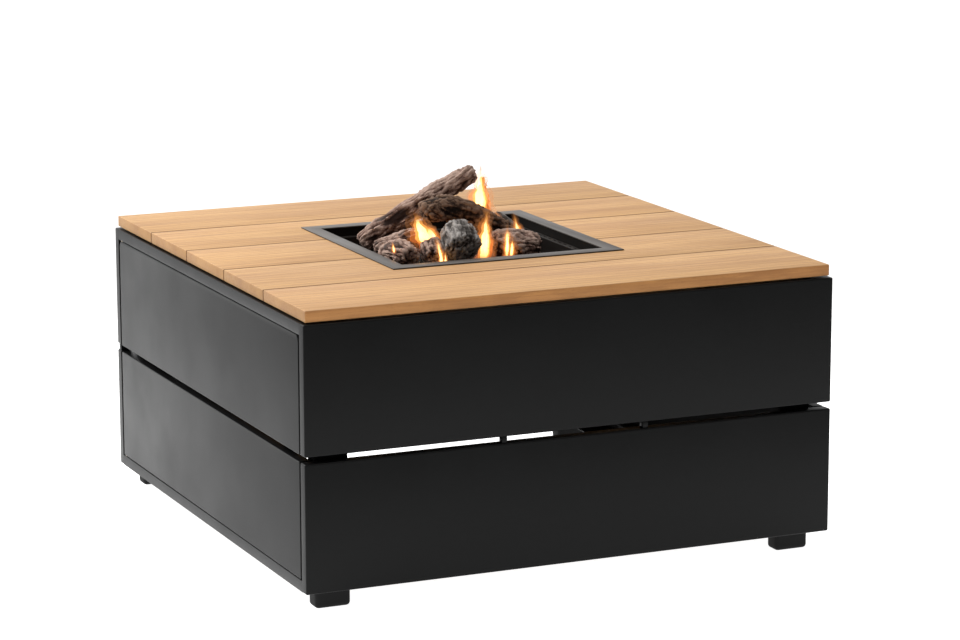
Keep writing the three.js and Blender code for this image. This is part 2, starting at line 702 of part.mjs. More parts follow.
// ---------------------------------------------------------------- the door to the gas bottle, on the left
// Two trays with the finger gap between them, on two stiles. It turns on a pin at its top and one at its base.
function doorPanel(z0, z1, topCorner, bottomCorner) {
  const w = panelEnd;
  const h = (z1 - z0) / 2;
  const outline = new THREE.Shape();
  outline.moveTo(bottomCorner - w, -h);
  outline.lineTo(w - bottomCorner, -h);
  outline.absarc(w - bottomCorner, bottomCorner - h, bottomCorner, -Math.PI / 2, 0);
  outline.lineTo(w, h - topCorner);
  outline.absarc(w - topCorner, h - topCorner, topCorner, 0, Math.PI / 2);
  outline.lineTo(topCorner - w, h);
  outline.absarc(topCorner - w, h - topCorner, topCorner, Math.PI / 2, Math.PI);
  outline.lineTo(-w, bottomCorner - h);
  outline.absarc(bottomCorner - w, bottomCorner - h, bottomCorner, Math.PI, 1.5 * Math.PI);
  const bevel = 1.2;
  const geometry = new THREE.ExtrudeGeometry(outline, {
    depth: WALL_DEPTH - 2 * bevel,
    bevelEnabled: true,
    bevelThickness: bevel,
    bevelSize: bevel,
    bevelOffset: -bevel,
    bevelSegments: 2,
    curveSegments: 4,
  });
  // The outline's x becomes the body's Y, its y becomes Z, and its depth becomes X.
  geometry.translate(0, 0, bevel - WALL_DEPTH);
  geometry.applyMatrix4(
    new THREE.Matrix4().makeBasis(
      new THREE.Vector3(0, 1, 0),
      new THREE.Vector3(0, 0, 1),
      new THREE.Vector3(1, 0, 0),
    ),
  );
  geometry.translate(-right + WALL_DEPTH, 0, (z0 + z1) / 2);
  const hollow = block(
    [-right + SHEET, -panelEnd + SHEET, z0 + SHEET],
    [-right + WALL_DEPTH + 1, panelEnd - SHEET, z1 - SHEET],
  );
  return solidOf(geometry).subtract(hollow);
}
const upperDoor = doorPanel(upperBottom, panelTop, DOOR_CORNER, PLAIN_CORNER);
const lowerDoor = doorPanel(panelBottom, lowerTop, PLAIN_CORNER, PLAIN_CORNER);
add("door_upper_panel", upperDoor.subtract(pinHole(panelTop - 5, panelTop + 1)), powderCoat);
add("door_lower_panel", lowerDoor.subtract(pinHole(panelBottom - 1, panelBottom + 5)), powderCoat);

const doorInside = -right + WALL_DEPTH;
for (const [endName, signY] of ends) {
  const middle = signY * (panelEnd - STILE_FROM_EDGE);
  const stile = squareTube(
    [doorInside + TOUCH, middle - STILE_WIDTH / 2, panelBottom + 2 * WALL_DEPTH],
    [doorInside + TOUCH + STILE_DEPTH, middle + STILE_WIDTH / 2, panelTop - 2 * WALL_DEPTH],
    2,
    SHEET,
  );
  add(`door_stile_${endName}`, stile, insideCoat);
}

// A pivot pin with a collar that fills the seam between the rail and the door.
const pivotPin = (z0, z1, collar0) =>
  join(
    rod([pivotX, pivotY, z0], [pivotX, pivotY, z1], PIVOT_RADIUS),
    rod([pivotX, pivotY, collar0 + TOUCH], [pivotX, pivotY, collar0 + SEAM - TOUCH], PIVOT_RADIUS + 2),
  );
add("pivot_pin_top", pivotPin(panelTop - PIVOT_REACH, panelTop + PIVOT_REACH, panelTop), steel);
add("pivot_pin_base", pivotPin(panelBottom - PIVOT_REACH, panelBottom + PIVOT_REACH, panelBottom - SEAM), steel);

// A magnetic catch on the front post, and the plate on the door that it holds.
const catchZ = (upperBottom + panelTop) / 2;
const catchEdge = -back + postInnerY + TOUCH;
add(
  "catch_magnet",
  block(
    [doorInside + TOUCH, catchEdge, catchZ - CATCH_HEIGHT / 2],
    [doorInside + TOUCH + CATCH_WIDTH, catchEdge + CATCH_WIDTH, catchZ + CATCH_HEIGHT / 2],
    1,
  ),
  plastic,
);
add(
  "catch_plate",
  block(
    [-right + SHEET + TOUCH, catchEdge + 1, catchZ - CATCH_HEIGHT / 2 + 2],
    [doorInside - TOUCH, catchEdge + CATCH_WIDTH - 1, catchZ + CATCH_HEIGHT / 2 - 2],
    1,
  ),
  steel,
);

export default fireTable;
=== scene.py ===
"""The finished look of a square gas fire table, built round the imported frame."""
import json
import logging
import math
import random
from dataclasses import dataclass, field
from enum import Enum
from typing import Callable, Sequence

import bmesh
import bpy
import numpy as np
from mathutils import Euler, Matrix, Vector


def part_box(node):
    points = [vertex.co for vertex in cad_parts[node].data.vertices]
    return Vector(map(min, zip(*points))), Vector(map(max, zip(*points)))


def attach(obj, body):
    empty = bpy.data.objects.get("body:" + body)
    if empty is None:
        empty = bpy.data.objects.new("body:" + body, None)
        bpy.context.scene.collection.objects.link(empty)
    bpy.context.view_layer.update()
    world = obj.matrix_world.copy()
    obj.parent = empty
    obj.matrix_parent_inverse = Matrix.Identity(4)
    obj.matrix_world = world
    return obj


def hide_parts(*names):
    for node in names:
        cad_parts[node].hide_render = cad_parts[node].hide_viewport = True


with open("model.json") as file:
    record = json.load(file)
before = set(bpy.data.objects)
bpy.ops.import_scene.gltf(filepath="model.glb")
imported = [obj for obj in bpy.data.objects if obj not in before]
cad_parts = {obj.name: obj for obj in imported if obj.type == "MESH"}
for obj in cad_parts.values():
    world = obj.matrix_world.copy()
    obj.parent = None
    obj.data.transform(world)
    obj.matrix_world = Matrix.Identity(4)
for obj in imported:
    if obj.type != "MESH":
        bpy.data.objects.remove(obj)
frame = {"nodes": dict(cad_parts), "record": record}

logging.basicConfig(level=logging.INFO, format="%(message)s")
log = logging.getLogger("fire_table")
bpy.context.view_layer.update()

SHEET = 0.002
TOUCH = 0.0003
MM = 0.001
ALIGNED = 0.9
Test = Callable[[Vector, Vector], bool]
Colour = tuple[float, float, float]
Point = tuple[float, float, float]
Socket = bpy.types.NodeSocket


# ---------------------------------------------------------------- workbench
def deselect() -> None:
    """Leaves edit mode and selects nothing."""
    if bpy.context.object and bpy.context.object.mode != "OBJECT":
        bpy.ops.object.mode_set(mode="OBJECT")
    bpy.ops.object.select_all(action="DESELECT")


def activate(piece: bpy.types.Object) -> None:
    """Selects one piece alone and makes it the active one."""
    deselect()
    piece.select_set(True)
    bpy.context.view_layer.objects.active = piece


def settle(piece: bpy.types.Object, name: str) -> bpy.types.Object:
    """Names a piece and puts its place into its mesh, with the object at the origin.

    Args:
        piece: The piece, anywhere and at any scale.
        name: Its new name.

    Returns:
        The same piece.
    """
    activate(piece)
    bpy.ops.object.transform_apply(location=True, rotation=True, scale=True)
    piece.name = name
    piece.data.name = name
    return piece


def block(name: str, low: Vector, high: Vector) -> bpy.types.Object:
    """Adds a box between two corners, as the start of a piece.

    Args:
        name: The piece's name.
        low: Its lowest corner.
        high: Its highest corner.

    Returns:
        The box.
    """
    deselect()
    size = Vector(high) - Vector(low)
    bpy.ops.mesh.primitive_cube_add(size=1, location=(Vector(low) + Vector(high)) / 2, scale=size)
    return settle(bpy.context.object, name)


def drum(name: str, start: Vector, end: Vector, radius: float, sides: int = 48) -> bpy.types.Object:
    """Adds a cylinder between two points, as the start of a round piece.

    Args:
        name: The piece's name.
        start: The middle of one end.
        end: The middle of the other end.
        radius: Its radius.
        sides: The number of its flat sides.

    Returns:
        The cylinder.
    """
    deselect()
    along = Vector(end) - Vector(start)
    turn = along.to_track_quat("Z", "Y").to_euler()
    middle = (Vector(start) + Vector(end)) / 2
    bpy.ops.mesh.primitive_cylinder_add(
        vertices=sides, radius=radius, depth=along.length, location=middle, rotation=turn
    )
    return settle(bpy.context.object, name)


def choose(piece: bpy.types.Object, kind: str, test: Test) -> None:
    """Enters edit mode with only the faces or edges selected that pass a test.

    Args:
        piece: The piece to edit.
        kind: What to choose, FACE or EDGE.
        test: Takes a face's centre and normal, or an edge's middle and direction.
    """
    activate(piece)
    bpy.ops.object.mode_set(mode="EDIT")
    bpy.ops.mesh.select_mode(type=kind)
    bpy.ops.mesh.select_all(action="DESELECT")
    mesh = bmesh.from_edit_mesh(piece.data)
    if kind == "FACE":
        chosen = [face for face in mesh.faces if test(face.calc_center_median(), face.normal)]
    else:
        ends = ((edge, *(vertex.co for vertex in edge.verts)) for edge in mesh.edges)
        chosen = [edge for edge, a, b in ends if test((a + b) / 2, (b - a).normalized())]
    for part in chosen:
        part.select_set(True)
    bmesh.update_edit_mesh(piece.data)


def round_edges(piece: bpy.types.Object, test: Test, radius: float, segments: int) -> None:
    """Rounds some edges of a piece.

    Args:
        piece: The piece.
        test: Takes an edge's middle and direction.
        radius: The size of the rounding.
        segments: The number of its steps.
    """
    choose(piece, "EDGE", test)
    bpy.ops.mesh.bevel(offset=radius, segments=segments)
    deselect()


def pierce(piece: bpy.types.Object, test: Test, wall: float) -> None:
    """Opens a piece from one end to the other, and leaves a wall round the hole.

    Args:
        piece: The piece.
        test: Takes a face's centre and normal, and passes the two ends.
        wall: The thickness of the wall.
    """
    choose(piece, "FACE", test)
    bpy.ops.mesh.inset(thickness=wall, use_boundary=True)
    bpy.ops.mesh.bridge_edge_loops()
    deselect()


def sink(piece: bpy.types.Object, test: Test, rims: Sequence[float], move: Sequence[float]) -> None:
    """Insets some faces of a piece and moves what is left of them, in or out.

    Args:
        piece: The piece.
        test: Takes a face's centre and normal.
        rims: The width of each rim that is left round the faces.
        move: How far the faces are moved.
    """
    choose(piece, "FACE", test)
    for width in rims:
        bpy.ops.mesh.inset(thickness=width, use_boundary=True)
    bpy.ops.mesh.extrude_region_move(TRANSFORM_OT_translate={"value": move})
    deselect()


def modify(piece: bpy.types.Object, kind: str, **settings: object) -> None:
    """Adds one modifier with its settings and applies it.

    Args:
        piece: The piece.
        kind: The modifier's type.
        settings: The values of its settings.
    """
    activate(piece)
    modifier = piece.modifiers.new(kind.lower(), kind)
    for key, value in settings.items():
        setattr(modifier, key, value)
    bpy.ops.object.modifier_apply(modifier=modifier.name)


def soften(piece: bpy.types.Object, width: float, segments: int = 2, angle: float = 35.0) -> None:
    """Rounds the sharp edges of a piece and shades its flat faces flat and its bends smooth.

    Args:
        piece: The piece.
        width: The size of the rounding.
        segments: The number of its steps.
        angle: The least angle in degrees that counts as sharp.
    """
    modify(
        piece, "BEVEL", width=width, segments=segments, limit_method="ANGLE", angle_limit=math.radians(angle),
        harden_normals=False,
    )
    smooth(piece, angle)


def smooth(piece: bpy.types.Object, angle: float = 35.0) -> None:
    """Shades smooth, apart from edges sharper than an angle in degrees."""
    activate(piece)
    bpy.ops.object.shade_smooth_by_angle(angle=math.radians(angle))


def unite(first: bpy.types.Object, *others: bpy.types.Object) -> bpy.types.Object:
    """Joins solids into one skin, and removes the others."""
    for other in others:
        modify(first, "BOOLEAN", operation="UNION", solver="EXACT", object=other)
        bpy.data.objects.remove(other)
    return first


def cut(piece: bpy.types.Object, *tools: bpy.types.Object) -> bpy.types.Object:
    """Cuts solids out of a piece, and removes them."""
    for tool in tools:
        modify(piece, "BOOLEAN", operation="DIFFERENCE", solver="EXACT", object=tool)
        bpy.data.objects.remove(tool)
    return piece


def gather(name: str, pieces: Sequence[bpy.types.Object]) -> bpy.types.Object:
    """Joins pieces into one object without touching their skins.

    Args:
        name: The object's name.
        pieces: The pieces.

    Returns:
        The object.
    """
    deselect()
    for piece in pieces:
        piece.select_set(True)
    bpy.context.view_layer.objects.active = pieces[0]
    bpy.ops.object.join()
    return settle(bpy.context.object, name)


def copy_of(piece: bpy.types.Object, name: str, matrix: Matrix = Matrix.Identity(4)) -> bpy.types.Object:
    """Copies a piece with a mesh of its own, moved by a matrix.

    Args:
        piece: The piece.
        name: The copy's name.
        matrix: How its points are moved.

    Returns:
        The copy.
    """
    twin = piece.copy()
    twin.data = piece.data.copy()
    twin.name = name
    twin.data.transform(matrix)
    bpy.context.scene.collection.objects.link(twin)
    return twin


def box_of(node: str) -> tuple[Vector, Vector]:
    """The lowest and highest corner of a CAD node."""
    low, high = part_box(node)
    return Vector(low), Vector(high)


def place(
    piece: bpy.types.Object, body: str, material: bpy.types.Material, slot: str | None, *nodes: str
) -> bpy.types.Object:
    """Dresses a finished piece, lets it ride on a body and hides the CAD nodes that it stands for.

    Args:
        piece: The finished piece.
        body: The CAD body that it moves with.
        material: Its finish.
        slot: The record's material slot, or None where it has none; not used.
        nodes: The CAD nodes that it replaces.

    Returns:
        The same piece.
    """
    piece.data.materials.clear()
    piece.data.materials.append(material)
    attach(piece, body)
    if nodes:
        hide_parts(*nodes)
    log.info("%s: %d faces on %s", piece.name, len(piece.data.polygons), body)
    return piece


# ---------------------------------------------------------------- shader building
class Nodes:
    """A node tree, with short calls that add nodes and join them."""

    def __init__(self, tree: bpy.types.NodeTree) -> None:
        """Takes the tree of a material, a world or a group to work on."""
        self.tree = tree
        self.place: Socket | None = None

    def join(self, value: object, socket: Socket) -> None:
        """Gives an input its value, either another node's output or a plain one."""
        if isinstance(value, Socket):
            self.tree.links.new(value, socket)
        else:
            socket.default_value = value

    def add(self, kind: str, **values: object) -> bpy.types.Node:
        """Adds a node.

        Args:
            kind: The node's type.
            values: What the node takes, each named for an input socket or for a setting of the node.

        Returns:
            The node.
        """
        node = self.tree.nodes.new(kind)
        for key, value in values.items():
            name = key.replace("_", " ").title()
            if name in node.inputs:
                self.join(value, node.inputs[name])
            else:
                setattr(node, key, value)
        return node

    def stretched(self, scale: Sequence[float], shift: Sequence[float] = (0, 0, 0)) -> Socket:
        """The surface's place, scaled along each axis and moved."""
        return self.add("ShaderNodeMapping", vector=self.place, scale=scale, location=shift).outputs["Vector"]

    def noise(self, scale: float | Socket, detail: float = 3.0, where: Socket | None = None) -> Socket:
        """A noise value from 0 to 1 over the surface.

        Args:
            scale: How fine it is.
            detail: How many finer layers it has.
            where: The place that it is read at, or None for the surface's own.

        Returns:
            The value.
        """
        node = self.add("ShaderNodeTexNoise", vector=where or self.place, scale=scale, detail=detail)
        return node.outputs["Fac"]

    def ramp(self, value: Socket, stops: Sequence[tuple[float, Colour]]) -> Socket:
        """Turns a value into a colour.

        Args:
            value: The value.
            stops: The colours, each with the value that has it.

        Returns:
            The colour.
        """
        node = self.add("ShaderNodeValToRGB", fac=value)
        elements = node.color_ramp.elements
        while len(elements) < len(stops):
            elements.new(0.5)
        for element, (position, colour) in zip(elements, stops):
            element.position = position
            element.color = (*colour, 1)
        return node.outputs["Color"]

    def span(
        self, value: Socket, low: float, high: float, out_low: float = 0.0, out_high: float = 1.0,
        how: str = "LINEAR",
    ) -> Socket:
        """Brings a value from one range to another, and holds it there.

        Args:
            value: The value.
            low: Where its own range starts.
            high: Where its own range ends.
            out_low: What it is at the start.
            out_high: What it is at the end.
            how: The kind of the way between them.

        Returns:
            The new value.
        """
        node = self.add(
            "ShaderNodeMapRange", interpolation_type=how, value=value, from_min=low, from_max=high,
            to_min=out_low, to_max=out_high,
        )
        return node.outputs["Result"]

    def blend(
        self, amount: Socket | float, first: Socket | Colour, second: Socket | Colour, how: str = "MIX"
    ) -> Socket:
        """Mixes two colours.

        Args:
            amount: The second colour's share.
            first: The colour at 0.
            second: The colour that is mixed in.
            how: The kind of mix.

        Returns:
            The mixed colour.
        """
        node = self.add("ShaderNodeMix", data_type="RGBA", blend_type=how)
        for index, value in ((0, amount), (6, first), (7, second)):
            self.join((*value, 1) if isinstance(value, tuple) else value, node.inputs[index])
        return node.outputs[2]

    def level_between(self, amount: Socket, first: Socket, second: Socket | float) -> Socket:
        """Mixes two plain values by an amount from 0 to 1.

        Args:
            amount: The second value's share.
            first: The value at 0.
            second: The value at 1.

        Returns:
            The mixed value.
        """
        node = self.add("ShaderNodeMix")
        for index, value in ((0, amount), (2, first), (3, second)):
            self.join(value, node.inputs[index])
        return node.outputs[0]

    def sum_of(self, first: Socket, second: Socket | float, how: str = "ADD") -> Socket:
        """Two values joined by arithmetic.

        Args:
            first: The first value.
            second: The second value.
            how: The operation.

        Returns:
            The result.
        """
        node = self.add("ShaderNodeMath", operation=how)
        for value, socket in zip((first, second), node.inputs):
            self.join(value, socket)
        return node.outputs[0]

    def attribute(self, name: str) -> Socket:
        """A value that the piece's own mesh carries."""
        return self.add("ShaderNodeAttribute", attribute_name=name).outputs["Fac"]


class Finish(Nodes):
    """One material and its node tree."""

    def __init__(self, name: str) -> None:
        """Makes an empty material that ends in a Principled BSDF."""
        self.material = bpy.data.materials.new(name)
        self.material.use_nodes = True
        super().__init__(self.material.node_tree)
        self.tree.nodes.clear()
        self.shader = self.add("ShaderNodeBsdfPrincipled")
        self.add("ShaderNodeOutputMaterial", surface=self.shader.outputs["BSDF"])
        self.place = self.add("ShaderNodeTexCoord").outputs["Object"]

    def feed(self, socket: str, value: object) -> None:
        """Joins a value to one of the shader's inputs, or sets it."""
        self.join(value, self.shader.inputs[socket])

    def bump(self, height: Socket, depth: float, strength: float = 1.0) -> None:
        """Feeds a height in metres to the shader's normal.

        Args:
            height: The height, as a share of the depth.
            depth: The depth in metres.
            strength: How much of it is used.
        """
        node = self.add("ShaderNodeBump", distance=depth, strength=strength, height=height)
        self.feed("Normal", node.outputs["Normal"])


class Group(Nodes):
    """A node group that several materials share."""

    def __init__(self, name: str, inputs: dict[str, object], outputs: dict[str, str]) -> None:
        """Makes an empty group.

        Args:
            name: The group's name.
            inputs: Each input's name and starting value; a tuple makes a colour, None makes a vector.
            outputs: Each output's name and socket type.
        """
        super().__init__(bpy.data.node_groups.new(name, "ShaderNodeTree"))
        kinds = {float: "NodeSocketFloat", tuple: "NodeSocketColor", type(None): "NodeSocketVector"}
        for key, value in inputs.items():
            socket = self.tree.interface.new_socket(key, in_out="INPUT", socket_type=kinds[type(value)])
            if value is not None:
                socket.default_value = (*value, 1) if isinstance(value, tuple) else value
        for key, kind in outputs.items():
            self.tree.interface.new_socket(key, in_out="OUTPUT", socket_type=kind)
        self.given = self.add("NodeGroupInput").outputs
        self.result = self.add("NodeGroupOutput").inputs
        self.place = self.given["Place"]


def surface_grain() -> bpy.types.NodeTree:
    """A fine grain with a broad cloudiness over it, as a value and as a height."""
    grain = Group(
        "surface_grain",
        {"Place": None, "Fine": 600.0, "Broad": 6.0, "Cloud": 0.4},
        {"Value": "NodeSocketFloat", "Height": "NodeSocketFloat"},
    )
    fine = grain.noise(grain.given["Fine"], 2)
    broad = grain.noise(grain.given["Broad"], 5)
    grain.join(grain.level_between(grain.given["Cloud"], fine, broad), grain.result["Value"])
    grain.join(fine, grain.result["Height"])
    return grain.tree


def settled_dust() -> bpy.types.NodeTree:
    """A base colour that turns to dust in patches on faces that look up."""
    dust = Group(
        "settled_dust",
        {"Place": None, "Base": (0.1, 0.1, 0.1), "Dust": (0.3, 0.28, 0.25), "Amount": 0.2},
        {"Color": "NodeSocketColor"},
    )
    normal = dust.add("ShaderNodeNewGeometry").outputs["Normal"]
    upward = dust.add("ShaderNodeSeparateXYZ", vector=normal).outputs["Z"]
    patches = dust.span(dust.noise(35, 6), 0.42, 0.72)
    amount = dust.sum_of(dust.span(upward, 0.2, 1.0), patches, "MULTIPLY")
    amount = dust.sum_of(amount, dust.given["Amount"], "MULTIPLY")
    dust.join(dust.blend(amount, dust.given["Base"], dust.given["Dust"]), dust.result["Color"])
    return dust.tree


GRAIN = surface_grain()
DUST = settled_dust()


@dataclass(frozen=True)
class Coat:
    """A sprayed coat, moulding or bare metal: one colour with grain, clouds, bump and dust."""

    name: str
    colour: Colour
    roughness: float
    metallic: float = 0.0
    gloss: float = 0.5
    fine: float = 900.0
    broad: float = 9.0
    cloud: float = 0.55
    depth: float = 0.00004
    variation: float = 0.25
    dust: float = 0.15
    tint: Colour | None = None

    def build(self) -> bpy.types.Material:
        """Makes the material."""
        coat = Finish(self.name)
        grain = coat.add(
            "ShaderNodeGroup", node_tree=GRAIN, place=coat.place, fine=self.fine, broad=self.broad,
            cloud=self.cloud,
        )
        value = grain.outputs["Value"]
        darker = tuple(c * (1 - self.variation) for c in self.colour)
        lighter = tuple(min(1.0, c * (1 + self.variation)) for c in (self.tint or self.colour))
        base = coat.ramp(value, [(0.32, darker), (0.68, lighter)])
        dusty = coat.add("ShaderNodeGroup", node_tree=DUST, place=coat.place, base=base, amount=self.dust)
        coat.feed("Base Color", dusty.outputs["Color"])
        coat.feed("Metallic", self.metallic)
        coat.feed("Roughness", coat.span(value, 0.3, 0.7, self.roughness - 0.06, self.roughness + 0.08))
        coat.feed("Specular IOR Level", self.gloss)
        coat.bump(grain.outputs["Height"], self.depth)
        return coat.material


@dataclass(frozen=True)
class Teak:
    """Oiled teak whose grain runs along X."""

    name: str
    shift: float
    tone: float = 1.0
    light: Colour = (0.560, 0.318, 0.124)
    middle: Colour = (0.435, 0.230, 0.090)
    # Painted shade: faces that look along Y, the sides of the planks, are multiplied by this darker tone.
    side_shade_tone: Colour = (0.96, 0.80, 0.62)
    end_tone: Colour = (0.58, 0.54, 0.48)
    dark: Colour = (0.26, 0.125, 0.048)
    # Painted shade with dirt: this dark colour goes on the plank edges in the gaps between planks.
    joint_shade_and_dirt: Colour = (0.090, 0.040, 0.015)

    def shade(self, colour: Colour) -> Colour:
        """A colour in this board's own tone."""
        return tuple(min(1.0, c * self.tone) for c in colour)

    def build(self) -> bpy.types.Material:
        """Makes the material."""
        wood = Finish(self.name)
        along = wood.stretched((1.0, 9.0, 9.0), (self.shift, self.shift * 2.3, self.shift * 1.7))
        streaks = wood.noise(2.2, 5.0, along)
        lines = wood.noise(
            1.0, 4.0, wood.stretched((6.0, 260.0, 260.0), (self.shift * 3, self.shift * 5, 0))
        )
        wave = wood.add(
            "ShaderNodeTexWave", vector=wood.stretched((0.16, 1.0, 1.0), (self.shift, self.shift, 0)),
            wave_type="BANDS", bands_direction="Y", scale=22.0, distortion=7.0, detail=3.0,
            detail_scale=1.4,
        ).outputs["Fac"]
        pores = wood.noise(1.0, 1.0, wood.stretched((90.0, 1900.0, 1900.0), (0, self.shift, 0)))
        plain = wood.ramp(streaks, [(0.30, self.shade(self.middle)), (0.62, self.shade(self.light))])
        rings = wood.span(wave, 0.62, 1.0, 0.0, 0.38)
        base = wood.blend(rings, plain, self.shade(self.dark))
        base = wood.blend(wood.span(lines, 0.48, 0.75, 0.0, 0.50), base, self.shade(self.dark))
        base = wood.blend(wood.span(pores, 0.60, 0.72, 0.0, 0.55), base, self.shade(self.dark))
        # Darkens the plank edges in the gaps: dirt with painted shade.
        base = wood.blend(wood.span(wood.attribute("joint"), 0.1, 0.9, 0.0, 0.85), base, self.joint_shade_and_dirt)
        normal = wood.add("ShaderNodeNewGeometry").outputs["Normal"]
        axes = wood.add("ShaderNodeSeparateXYZ", vector=normal)
        ends, sides = (wood.span(wood.sum_of(axes.outputs[axis], 2.0, "POWER"), 0.3, 0.9) for axis in "XY")
        # Painted shade: faces that look along Y, the plank sides, turn darker.
        base = wood.blend(sides, base, wood.blend(1.0, base, self.side_shade_tone, "MULTIPLY"))
        base = wood.blend(ends, base, wood.blend(1.0, plain, self.end_tone, "MULTIPLY"))
        wood.feed("Base Color", base)
        wood.feed("Roughness", wood.span(lines, 0.3, 0.7, 0.50, 0.66))
        wood.feed("Specular IOR Level", 0.35)
        height = wood.sum_of(lines, wood.span(pores, 0.58, 0.72, 0.0, -0.6))
        height = wood.sum_of(height, wood.span(ends, 0.0, 1.0, 1.0, 0.0), "MULTIPLY")
        wood.bump(height, 0.00025, 0.6)
        return wood.material


@dataclass(frozen=True)
class LogSkin:
    """The cast and painted skin of a ceramic log; its relief darkens the cracks and lights the ridges."""

    name: str
    crack: Colour
    body: Colour
    ridge: Colour
    ash: Colour = (0.42, 0.38, 0.34)
    ash_amount: float = 0.35
    ember: float = 0.0

    def build(self) -> bpy.types.Material:
        """Makes the material."""
        skin = Finish(self.name)
        relief = skin.attribute("relief")
        mottle = skin.noise(55.0, 6.0)
        speck = skin.noise(420.0, 3.0)
        level = skin.sum_of(relief, skin.span(mottle, 0.3, 0.7, -0.22, 0.22))
        level = skin.sum_of(level, skin.span(speck, 0.3, 0.7, -0.14, 0.14))
        base = skin.ramp(level, [(0.18, self.crack), (0.48, self.body), (0.80, self.ridge)])
        dusty = skin.add(
            "ShaderNodeGroup", node_tree=DUST, place=skin.place, base=base, dust=(*self.ash, 1),
            amount=self.ash_amount,
        )
        skin.feed("Base Color", dusty.outputs["Color"])
        skin.feed("Roughness", 0.92)
        skin.feed("Specular IOR Level", 0.2)
        skin.bump(skin.sum_of(speck, mottle), 0.0009, 0.8)
        if self.ember > 0:
            heat = skin.attribute("heat")
            hot = skin.sum_of(heat, skin.span(level, 0.15, 0.75, 1.0, 0.25), "MULTIPLY")
            glow = skin.ramp(hot, [(0.05, (0, 0, 0)), (0.4, (0.9, 0.12, 0.01)), (0.9, (1.0, 0.45, 0.10))])
            skin.feed("Emission Color", glow)
            skin.feed("Emission Strength", self.ember)
        return skin.material


@dataclass(frozen=True)
class FlameSkin:
    """One layer of a flame: it glows, and thins out towards its foot and its tip."""

    name: str
    foot: Colour
    tip: Colour
    strength: float
    density: float

    def build(self) -> bpy.types.Material:
        """Makes the material."""
        layer = Finish(self.name)
        rise = layer.attribute("rise")
        wisps = layer.noise(1.0, 2.0, layer.stretched((70.0, 70.0, 22.0)))
        ends = layer.sum_of(layer.span(rise, 0.0, 0.30), layer.span(rise, 0.45, 1.0, 1.0, 0.0), "MULTIPLY")
        body = layer.sum_of(ends, layer.span(wisps, 0.30, 0.70, 0.55, 1.0), "MULTIPLY")
        layer.feed("Base Color", (0, 0, 0, 1))
        layer.feed("Specular IOR Level", 0.0)
        layer.feed("Roughness", 1.0)
        layer.feed("Emission Color", layer.ramp(rise, [(0.15, self.foot), (0.85, self.tip)]))
        layer.feed("Emission Strength", self.strength)
        layer.feed("Alpha", layer.sum_of(body, self.density, "MULTIPLY"))
        return layer.material


POWDER = Coat("powder_coat_black", (0.0045, 0.0046, 0.0046), 0.36, gloss=0.11, fine=1400.0, dust=0.006)
INSIDE = Coat("inside_coat_black", (0.005, 0.005, 0.005), 0.85, gloss=0.04, dust=0.01)
BURNER = Coat("burner_coat", (0.040, 0.032, 0.026), 0.38, gloss=0.27, fine=1500.0, dust=0.05,
              tint=(0.052, 0.040, 0.031))
# The skirt's coat, far darker than the burner's: soot with painted shade for the well.
SOOT_AND_SHADE = Coat("soot_and_shade_coat", (0.006, 0.0045, 0.0035), 0.75, gloss=0.06, fine=900.0, dust=0.0)
RECESS = Coat("recess_coat", (0.014, 0.013, 0.012), 0.42, gloss=0.25, fine=1500.0, dust=0.03)
PAN = Coat("pan_coat", (0.009, 0.007, 0.006), 0.6, gloss=0.12, dust=0.08, tint=(0.014, 0.010, 0.008))
RUBBER = Coat("foot_rubber", (0.008, 0.008, 0.008), 0.72, gloss=0.2, fine=500.0, depth=0.0001, dust=0.05)
PLASTIC = Coat("black_plastic", (0.012, 0.012, 0.012), 0.42, fine=1600.0, dust=0.03)
STEEL = Coat("tinted_steel", (0.42, 0.40, 0.38), 0.34, metallic=1.0, fine=700.0, dust=0.05,
             tint=(0.46, 0.38, 0.28))
BRASS = Coat("machined_brass", (0.60, 0.43, 0.19), 0.32, metallic=1.0, fine=800.0, dust=0.04)
GLAZE = Coat("white_insulator", (0.78, 0.76, 0.70), 0.25, fine=300.0, variation=0.06, dust=0.1)
LEAD = Coat("lead_sleeve", (0.02, 0.018, 0.017), 0.6, fine=900.0, dust=0.05)
LAVA = LogSkin("lava_stone", (0.006, 0.004, 0.004), (0.034, 0.024, 0.021), (0.085, 0.062, 0.054),
               ash_amount=0.10, ember=0.9)
BARK = LogSkin("bark_log", (0.020, 0.009, 0.006), (0.145, 0.082, 0.062), (0.360, 0.250, 0.200),
               ash_amount=0.18, ember=3.0)
CHAR = LogSkin("charred_log", (0.007, 0.004, 0.003), (0.064, 0.036, 0.024), (0.200, 0.125, 0.085),
               ash_amount=0.08, ember=2.4)
ASH = LogSkin("ash_log", (0.036, 0.031, 0.028), (0.150, 0.135, 0.126), (0.300, 0.278, 0.260),
              ash_amount=0.22, ember=0.8)


# ---------------------------------------------------------------- the shells
class Side(Enum):
    """The way that the open side of a folded panel looks."""

    PLUS_X = (0, 1)
    MINUS_X = (0, -1)
    PLUS_Y = (1, 1)
    MINUS_Y = (1, -1)


